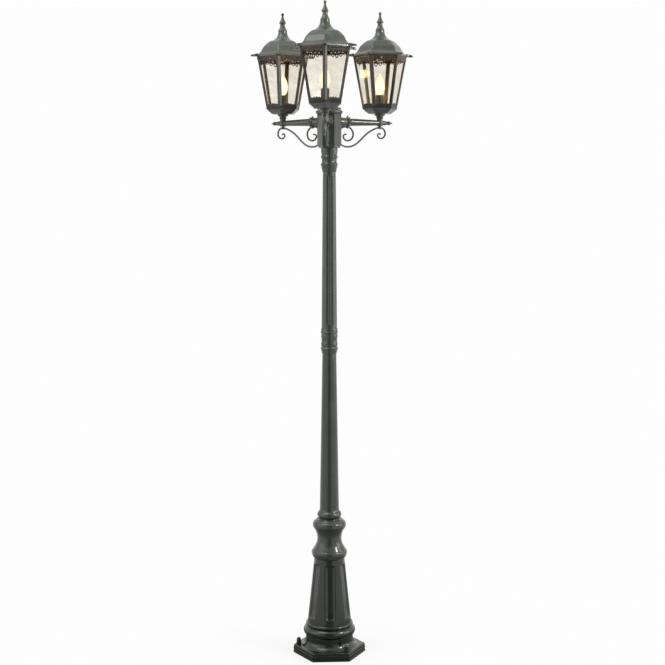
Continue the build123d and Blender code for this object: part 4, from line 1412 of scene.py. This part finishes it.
# ---- lanterns ---------------------------------------------------------------------------------------
@dataclass
class Lantern:
    """One lantern on its own axis: cup, dish, cage, lampholder, bulb, roof with ears, and finial."""

    number: int
    bulb_power: float
    bulb_light: Colour = (1.0, 0.66, 0.3)
    filament: float = 12.0
    low_corner: float = 61.5
    high_corner: float = 94.0
    rib: float = 8.7
    fringe: float = 27.0
    notch: float = 13.0
    upstand: float = 12.0
    eave: float = 82.7
    foot_drop: float = 9.0
    crease: float = 0.9
    floor: float = 2.6
    tube_height: float = 62.0
    bulb_height: float = 74.0
    finial_height: float = 62.0
    tilt: float = field(init=False)
    slope: float = field(init=False)

    def __post_init__(self) -> None:
        """Work out how far the sides lean and how long they are."""
        rise = CAGE_TOP_Z - CAGE_Z
        lean = (self.high_corner - self.low_corner) * COS30
        self.tilt = math.atan2(lean, rise)
        self.slope = math.hypot(lean, rise)

    def side_matrix(self) -> Matrix:
        """The plane of a side drawn towards +X: X along the side, Y up the slope, Z outwards.

        Returns:
            The matrix.
        """
        normal = Vector((math.cos(self.tilt), 0, -math.sin(self.tilt)))
        along = Vector((0, 1, 0))
        up = normal.cross(along)
        turn = Matrix((along, up, normal)).transposed().to_4x4()
        return Matrix.Translation((self.low_corner * COS30, 0, CAGE_Z)) @ turn

    def half_side(self, up: float) -> float:
        """Half a side's length at a distance up the slope."""
        return (self.low_corner + (self.high_corner - self.low_corner) * up / self.slope) / 2

    def lobes(self, start: float, end: float, level: float, depths: Sequence[float]) -> list[Point]:
        """Hang round lobes from a level.

        Args:
            start: Where the first lobe starts.
            end: Where the last lobe ends.
            level: The height of the notches between them.
            depths: How far each lobe stands out, downwards if negative.

        Returns:
            The edge's points.
        """
        points: list[Point] = []
        width = (end - start) / len(depths)
        for i, depth in enumerate(depths):
            left = start + width * i
            for k in range(9):
                t = k / 8
                bulge = math.sin(math.pi * t) ** 0.6
                points.append((left + width * t, level + depth * bulge))
        return points

    def ring_hole(self, x: float, y: float, wide: float, high: float) -> list[Point]:
        """An oval hole's outline."""
        return [(x + wide * math.cos(a), y + high * math.sin(a)) for a in even_angles(12)]

    def fringe_plate(self) -> Form:
        """Make one side's lacy fringe, pierced with small openings.

        Returns:
            The form.
        """
        top = self.slope - 3.5
        level = self.slope - self.notch
        half_low, half_top = self.half_side(level) - 2, self.half_side(top) - 1.2
        inner = self.half_side(level) - self.rib
        drop = self.fringe - self.notch
        depths = (-0.42 * drop, -0.7 * drop, -drop, -0.7 * drop, -0.42 * drop)
        edge = self.lobes(inner, -inner, level, depths)
        outline = [(half_top, top), (half_low, level), *edge, (-half_low, level), (-half_top, top)]
        holes = []
        step = 2 * inner / len(depths)
        for i, depth in enumerate(depths):
            x = inner - step * (i + 0.5)
            holes.append(self.ring_hole(x, level + depth * 0.45, step * 0.2, abs(depth) * 0.26))
        for i in range(len(depths) - 1):
            x = inner - step * (i + 1)
            holes.append(self.ring_hole(x, level + 4.6, step * 0.15, 1.7))
        return Form().plate([outline, *holes], 2.2, 0.3)

    def upstand_plate(self) -> Form:
        """Make one side's low scalloped upstand.

        Returns:
            The form.
        """
        level = self.upstand * 0.5
        inner = self.half_side(level) - self.rib + 1
        half_low, half_level = self.half_side(1.0) - 1, self.half_side(level) - 1.4
        rise = self.upstand - level
        edge = self.lobes(-inner, inner, level, (0.5 * rise, 0.8 * rise, rise, 0.8 * rise, 0.5 * rise))
        outline = [(-half_low, 1.0), (-half_level, level), *edge, (half_level, level), (half_low, 1.0)]
        return Form().plate([outline], 2.4, 0.3)

    def rib_form(self) -> Form:
        """Make the corner rib towards +X: two flanges with a rounded ridge and a raised outer lip.

        Returns:
            The form.
        """
        form = Form()
        section = [
            (0.0, 0.0),
            (-0.9, 1.4),
            (-1.5, 1.9),
            (-self.rib * 0.5 + 0.9, self.rib * COS30 - 1.1),
            (-self.rib * 0.5 - 0.3, self.rib * COS30),
            (-self.rib * 0.5 - 2.7, self.rib * COS30 - 1.5),
            (-4.6, 1.6),
            (-5.2, 0.0),
        ]
        full = [*section, *((x, -y) for x, y in section[-2:0:-1])]
        before: list[bmesh.types.BMEdge] = []
        lean = (self.high_corner - self.low_corner) / (CAGE_TOP_Z - CAGE_Z)
        low = (self.low_corner - self.foot_drop * lean, CAGE_Z - self.foot_drop)
        for corner, z in (low, (self.high_corner - 0.4, CAGE_TOP_Z - 1.5)):
            verts = [form.mesh.verts.new((corner + x, y, z)) for x, y in full]
            face = form.mesh.faces.new(verts)
            edges = list(face.edges)
            if before:
                bmesh.ops.bridge_loops(form.mesh, edges=[*before, *edges])
            before = edges
        ridges = [e for e in form.mesh.edges if len(e.link_faces) == 2 and e.calc_face_angle(0) > 0.6]
        bmesh.ops.bevel(
            form.mesh,
            geom=ridges,
            offset=0.35,
            segments=2,
            profile=0.5,
            affect="EDGES",
            material=-1,
            clamp_overlap=True,
        )
        return form

    def cage(self) -> Form:
        """Make the cage: ribs, rails, fringes and upstands.

        Returns:
            The form.
        """
        form = Form().around(self.rib_form(), 6)
        place = self.side_matrix() @ Matrix.Translation((0, 0, -1.6))
        side = Form().add(self.fringe_plate(), place).add(self.upstand_plate(), place)
        form.around(side, 6, 30)
        low, high = self.low_corner * COS30, self.high_corner * COS30
        lean = math.tan(self.tilt)
        drop = self.foot_drop - 1.5
        lower = [
            (low - 7, 0),
            (low - 4, -drop),
            (low - 1.6, -drop),
            (low - 0.8, 0.8 - drop),
            (low + 3 * lean, 3.0),
            (low - 2, 3.6),
            (low - 7, 2.2),
            (low - 7, 0),
        ]
        upper = [
            (high - 8, -4),
            (high - 5 * lean - 0.3, -5),
            (high, -1.5),
            (high - 0.3, 0),
            (high - 8, 0),
            (high - 8, -4),
        ]
        for profile, z in ((lower, CAGE_Z), (upper, CAGE_TOP_Z)):
            form.loft([(hexagon(flat, 120), z + dz) for flat, dz in profile], corner_angles())
        return form

    def dish(self) -> Form:
        """Make the hexagonal pan with its rim.

        Returns:
            The form.
        """
        rim, bottom, z = self.low_corner * COS30, 41.0 * COS30, DISH_Z
        outer = trace(
            (5.1, z),
            (bottom - 1, z),
            (bottom, z + 0.4),
            (bottom + 2, z + 3),
            ((rim - 8, z + 9.5), (rim - 3, z + 16)),
            (rim - 2.5, z + 17),
            (rim - 2.5, z + 23.4),
            (rim - 3, z + 24),
            (rim - 5.5, z + 24),
            (rim - 5.5, z + 18),
            ((rim - 10, z + 11), (bottom - 1, z + self.floor)),
            (5.1, z + self.floor),
            finer=6,
        )
        rings = []
        for flat, level in outer:
            crisp = 2 if flat < 20 else 60 if flat < bottom + 3 else 100
            rings.append((hexagon(flat, crisp), level))
        return Form().loft(rings, corner_angles())

    def cup(self) -> Form:
        """Make the stepped cup under the dish.

        Returns:
            The form.
        """
        z = CUP_Z
        profile = trace(
            (5.1, z),
            (10.0, z),
            ((10.5, z + 4), (13.5, z + 7)),
            (11.5, z + 9),
            ((12.5, z + 12), (17.5, z + 15)),
            (19.0, z + 19),
            (19.0, z + 21),
            (5.1, z + 21),
        )
        return Form().lathe(profile, 64, 0.9)

    def roof(self) -> Form:
        """Make the bell roof: crisp at the eave, soft at the shoulder, round at the crown.

        Returns:
            The form.
        """
        z, h, eave = CAGE_TOP_Z, ROOF_TOP_Z - CAGE_TOP_Z, self.eave
        knee = (eave * 0.805, z + 0.27 * h)
        shoulder = (eave * 0.51, z + 0.61 * h)
        crown = (15.5, z + h - 5)
        outer = trace(
            (eave - 7.5, z + 0.0),
            (eave - 0.5, z + 0.0),
            (eave, z + 0.5),
            (eave, z + 4.9),
            (eave - 0.7, z + 6.2),
            ((knee[0] + 5.5, knee[1] - 9), knee),
            ((knee[0] - 9, knee[1] + 16.5), shoulder),
            ((shoulder[0] - 18, shoulder[1] + 10.5), crown),
            (15.4, z + h - 0.4),
            (14.8, z + h),
            (3.1, z + h),
            finer=12,
        )
        rings = []
        for flat, level in outer:
            up = (level - z) / h
            crisp = 100 if up < 0.1 else max(3.0, 70 * (1 - up) ** 2.2)
            step = self.crease * (smooth((level - z - 36) / 2.5) - smooth((level - z - 41) / 14))
            rings.append((hexagon(flat - step, crisp), level))
        inner = trace(
            (eave - 7.5, z),
            (eave - 7.5, z + 6),
            ((knee[0] + 1, knee[1] - 9), (knee[0] - 3.6, knee[1] - 1)),
            ((knee[0] - 11.5, knee[1] + 13.5), (shoulder[0] - 1.5, shoulder[1] - 3.6)),
            ((shoulder[0] - 20.5, shoulder[1] + 6), (11.9, z + h - 9)),
            (3.1, z + h - 9),
            (3.1, z + h),
        )
        form = Form().loft(rings, corner_angles())
        lining = [(hexagon(flat, 60 if level < z + 60 else 6), level) for flat, level in inner]
        form.loft(lining, corner_angles())
        return form.around(self.ear(), 6)

    def ear(self) -> Form:
        """Make one corner's ear: a flat lobed tab with a hole, thinner towards its end.

        Returns:
            The form.
        """
        corner = self.eave / COS30
        width, reach, thick = 7.5, 21.0, 10.4
        tab = [(corner + x, y) for x, y in ((-4.5, 7.0), (3.0, 6.2), (6.5, 4.6), (8.5, 5.4))]
        for i in range(9):
            a = math.radians(78 - 156 * i / 8)
            tab.append((corner + reach - width + width * math.cos(a), width * math.sin(a)))
        tab += [(x, -y) for x, y in reversed(tab[:4])]
        hole = self.ring_hole(corner + reach - width, 0, 3.0, 3.0)
        form = Form().plate([tab, hole], thick, 1.1)
        for vert in form.mesh.verts:
            out = (vert.co.x - corner) / reach
            vert.co.z = (vert.co.z + thick / 2) * (1.0 - 0.5 * max(0.0, out))
        return Form().add(form, Matrix.Translation((0, 0, CAGE_TOP_Z)))

    def finial(self) -> Form:
        """Make the spire, hollow where its thread is.

        Returns:
            The form.
        """
        z, h = ROOF_TOP_Z, self.finial_height
        bell = z + 0.47 * h
        ball = z + h - 5.4
        profile = trace(
            (0.0, z + 18),
            (3.05, z + 18),
            (3.05, z),
            (15.5, z),
            (15.5, z + 3),
            ((11.5, z + 9), (8.6, z + 0.31 * h)),
            (9.1, bell - 4),
            (12.2, bell - 2),
            (12.2, bell),
            ((7.0, bell + 9), (3.24, ball - 4.3)),
            ((5.4, ball), (0.0, z + h)),
            finer=10,
        )
        return Form().lathe(profile, 48, 0.9)

    def holder(self) -> Form:
        """Make the lampholder's skirt and ribbed candle tube.

        Returns:
            The form.
        """
        z = DISH_Z + self.floor
        top = z + self.tube_height
        profile = trace(
            (5.2, z),
            (18.0, z),
            (18.0, z + 3.6),
            (16.6, z + 5),
            (14.0, z + 5),
            (14.0, z + 24),
            (13.4, z + 24.8),
            (13.4, z + 26.4),
            (14.0, z + 27.2),
            (14.0, top - 1.2),
            (13.0, top),
            (7.1, top),
            (7.1, top - 24),
        )
        return Form().lathe(profile, 48, 0.5)

    def bulb(self) -> Form:
        """Make the candle bulb and its screw cap.

        Returns:
            The form.
        """
        z = DISH_Z + self.floor + self.tube_height
        top = z + self.bulb_height
        thread = [(7.0 if i % 2 == 0 else 6.4, z - 22 + 2.0 * i) for i in range(11)]
        profile = trace(
            (0.0, z - 25),
            (3.4, z - 25),
            *thread,
            (7.0, z + 1),
            ((14.5, z + 11), (17.5, z + 28)),
            ((14.5, z + 47), (4.0, top - 7)),
            (2.4, top - 2),
            ((1.3, top - 0.4), (0.0, top)),
            finer=12,
        )
        return Form().lathe(profile, 48, 0.3)

    def build(self) -> None:
        """Make and dress the lantern's pieces."""
        n = self.number + 1
        where = on_arm(self.number)
        paint = "lantern_paint"
        for name, form, finish, family, node, slot in (
            ("lantern_cup", self.cup(), HEAD_PAINT, Family.LANTERN, "foot_cup", paint),
            ("lantern_dish", self.dish(), DISH_PAINT, Family.LANTERN, "dish", paint),
            ("lantern_cage", self.cage(), CAGE_PAINT_WITH_GLOW, Family.LANTERN, "cage", paint),
            ("lantern_holder", self.holder(), HOLDER, Family.LANTERN, "lampholder", "holder_plastic"),
            ("lantern_roof", self.roof(), ROOF_PAINT, Family.LID, "roof", paint),
            ("lantern_finial", self.finial(), ROOF_PAINT, Family.SPIRE, "finial", paint),
            ("lantern_bulb", self.bulb(), LIT, Family.LAMP, "bulb", "bulb_glass"),
        ):
            form.finish(f"{name}_{n}", where, finish, family.body(n), [f"{node}_{n}"], slot)
        bpy.data.objects[f"lantern_bulb_{n}"].visible_shadow = False
        self.glow(where @ Vector((0, 0, GLOW_Z)))

    def glow(self, at: Vector) -> None:
        """Put the bulb's light inside its glass.

        Args:
            at: The bulb's middle, in millimetres.
        """
        n = self.number + 1
        light = bpy.data.lights.new(f"bulb_light_{n}", "POINT")
        light.energy = self.bulb_power
        light.color = self.bulb_light
        light.shadow_soft_size = self.filament * MM
        holder = bpy.data.objects.new(f"bulb_light_{n}", light)
        holder.location = at * MM
        bpy.context.scene.collection.objects.link(holder)
        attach(holder, Family.LAMP.body(n))


@dataclass
class InnerWorks:
    """The solids that keep their own shape: each gets its finish."""

    def build(self) -> None:
        """Dress the solids that stay."""
        finishes: dict[str, Finish] = {
            "tie_rod": ZINC,
            "tie_rod_nuts": ZINC,
            "tie_rod_bridge": ZINC,
            "terminal_block": TERMINAL,
            "supply_cable": SHEATH,
            "hub_grub_screws": ZINC,
            "junction_block": TERMINAL,
            "lantern_nipples": BRASS,
        }
        for n in (1, 2, 3):
            finishes[f"lamp_lead_{n}"] = SLEEVE
            finishes[f"roof_bridge_{n}"] = ZINC
            finishes[f"roof_stud_{n}"] = ZINC
            finishes[f"panes_{n}"] = PANE
        for node, finish in finishes.items():
            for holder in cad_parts[node].material_slots:
                holder.link = "OBJECT"
                holder.material = finish.material()
            log.info("%s keeps its solid, finished as %s", node, finish.name)


# ---- studio -----------------------------------------------------------------------------------------
@dataclass(frozen=True)
class Softbox:
    """An area light that faces the post: its name, place and size in metres, power in watts and colour."""

    name: str
    at: tuple[float, float, float]
    size: tuple[float, float]
    power: float
    tint: Colour = (1.0, 1.0, 0.98)
    aim: tuple[float, float, float] = (0.0, 0.0, 1.15)

    def hang(self) -> None:
        """Put the light into the scene."""
        light = bpy.data.lights.new(self.name, "AREA")
        light.shape = "RECTANGLE"
        light.size, light.size_y = self.size
        light.energy = self.power
        light.color = self.tint
        holder = bpy.data.objects.new(self.name, light)
        holder.location = self.at
        aim = Vector(self.aim) - Vector(self.at)
        holder.rotation_euler = aim.to_track_quat("-Z", "Y").to_euler()
        bpy.context.scene.collection.objects.link(holder)


SOFTBOXES = (
    Softbox("left_softbox", (-4.2, -1.3, 2.2), (3.4, 2.8), 27),
    Softbox("right_softbox", (4.3, -0.6, 1.7), (2.6, 2.2), 39),
    Softbox("window", (3.1, -1.85, 2.9), (0.5, 0.9), 55, (1, 1, 1)),
    Softbox("top_softbox", (-1.9, -1.2, 4.5), (2.6, 2.2), 50, (1, 0.99, 0.96)),
)


@dataclass
class Studio:
    """Floor, light and camera."""

    distance: float = 4.496
    eye: float = 1.603
    azimuth: float = -3.0
    down: float = 5.95
    aside: float = -0.14
    lens: float = 70.9
    white: float = 0.985
    floor_white: float = 0.8
    room: float = 0.1
    wall: float = 0.85

    @staticmethod
    def beside(graph: Graph, spot: Wire) -> Wire:
        """How far a direction or place lies to the side or back; 0 is in front of the post, in the dark room.

        Args:
            graph: The graph it is for.
            spot: The direction or place.

        Returns:
            From 0 to 1.
        """
        kind, level, camera_way = "ShaderNodeVectorMath", (1.0, 1.0, 0.0), (-0.05, -1.0, 0.0)
        flat = graph.node(kind, {"operation": "MULTIPLY"}, {0: spot, 1: level}, "Vector")
        ahead = graph.node(kind, {"operation": "NORMALIZE"}, {0: flat}, "Vector")
        front = graph.node(kind, {"operation": "DOT_PRODUCT"}, {0: ahead, 1: camera_way}, "Value")
        return 1.0 - front.held(0.88, 0.985)

    @staticmethod
    def seen(graph: Graph) -> Wire:
        """1 for rays that come straight, or through glass, from the camera."""
        straight = graph.node("ShaderNodeLightPath", {}, {}, "Is Camera Ray")
        return straight.maths("MAXIMUM", graph.node("ShaderNodeLightPath", {}, {}, "Is Transmission Ray"))

    def floor(self) -> None:
        """Lay a pale floor that fades into the white round it."""
        form = bmesh.new()
        bmesh.ops.create_grid(form, x_segments=1, y_segments=1, size=30)
        made = bpy.data.meshes.new("floor")
        form.to_mesh(made)
        form.free()
        material = bpy.data.materials.new("floor_paper")
        material.use_nodes = True
        graph = Graph(material.node_tree)
        seen = self.seen(graph)
        grain = graph.noise(3, 2)
        pale = graph.blend(grain, (0.8, 0.8, 0.8), (0.84, 0.84, 0.84))
        away = graph.node("ShaderNodeVectorMath", {"operation": "LENGTH"}, {0: graph.place()}, "Value")
        paper = graph.surface(
            {
                "Base Color": graph.blend(seen, (0.2, 0.2, 0.19), pale),
                "Roughness": 0.9,
                "Specular IOR Level": 0.0,
            }
        )
        white = graph.node("ShaderNodeEmission", {}, {"Color": (1, 1, 1, 1), "Strength": self.white})
        bounce = graph.node("ShaderNodeEmission", {}, {"Color": (1, 1, 1, 1), "Strength": self.wall})
        near = self.floor_white + away.held(0.1, 0.7) * (1.0 - self.floor_white)
        share = away.held(0.35, 1.2) * self.beside(graph, graph.place())
        lit = graph.node("ShaderNodeMixShader", {}, {0: share, 1: paper, 2: bounce})
        plain = graph.node("ShaderNodeMixShader", {}, {0: near, 1: paper, 2: white})
        graph.output(graph.node("ShaderNodeMixShader", {}, {0: seen, 1: lit, 2: plain}))
        made.materials.append(material)
        floor = bpy.data.objects.new("floor", made)
        floor.location.z = -0.0005
        bpy.context.scene.collection.objects.link(floor)

    def light(self) -> None:
        """Light the post from pale walls at its sides and back, softboxes and a small window."""
        world = bpy.data.worlds.new("studio")
        bpy.context.scene.world = world
        world.use_nodes = True
        graph = Graph(world.node_tree)
        way = graph.node("ShaderNodeTexCoord", {}, {}, "Generated")
        up = graph.node("ShaderNodeSeparateXYZ", {}, {0: way}, 2).held(0.45, 0.85)
        open_side = self.beside(graph, way).maths("MAXIMUM", up)
        level = self.room + open_side * (self.wall - self.room)
        walls = graph.node("ShaderNodeBackground", {}, {"Color": (1, 1, 1, 1), "Strength": level})
        white = graph.node("ShaderNodeBackground", {}, {"Color": (1, 1, 1, 1), "Strength": self.white})
        shown = graph.node("ShaderNodeMixShader", {}, {0: self.seen(graph), 1: walls, 2: white})
        graph.output(shown, "ShaderNodeOutputWorld")
        for softbox in SOFTBOXES:
            softbox.hang()

    def camera(self) -> None:
        """Set the camera where the photograph was taken from."""
        lens = bpy.data.cameras.new("camera")
        lens.lens = self.lens
        lens.sensor_width = 36
        holder = bpy.data.objects.new("camera", lens)
        turn = math.radians(self.azimuth)
        holder.location = (self.distance * math.sin(turn), -self.distance * math.cos(turn), self.eye)
        holder.rotation_euler = (math.radians(90 - self.down), 0, turn + math.radians(self.aside))
        bpy.context.scene.collection.objects.link(holder)
        bpy.context.scene.camera = holder

    def build(self) -> None:
        """Set up the floor, the light, the camera and the plain view transform."""
        self.floor()
        self.light()
        self.camera()
        bpy.context.scene.view_settings.view_transform = "Standard"


def main() -> None:
    """Build every piece in order, from the ground up, then the studio."""
    logging.basicConfig(level=logging.INFO, format="%(message)s")
    Foot().build()
    Pedestal().build()
    Column().build()
    Hub().build()
    for number in range(3):
        Arm(number).build()
    for number in range(3):
        Lantern(number, bulb_power=BULB_POWERS[number]).build()
    InnerWorks().build()
    Studio().build()


if __name__ == "__main__":
    main()
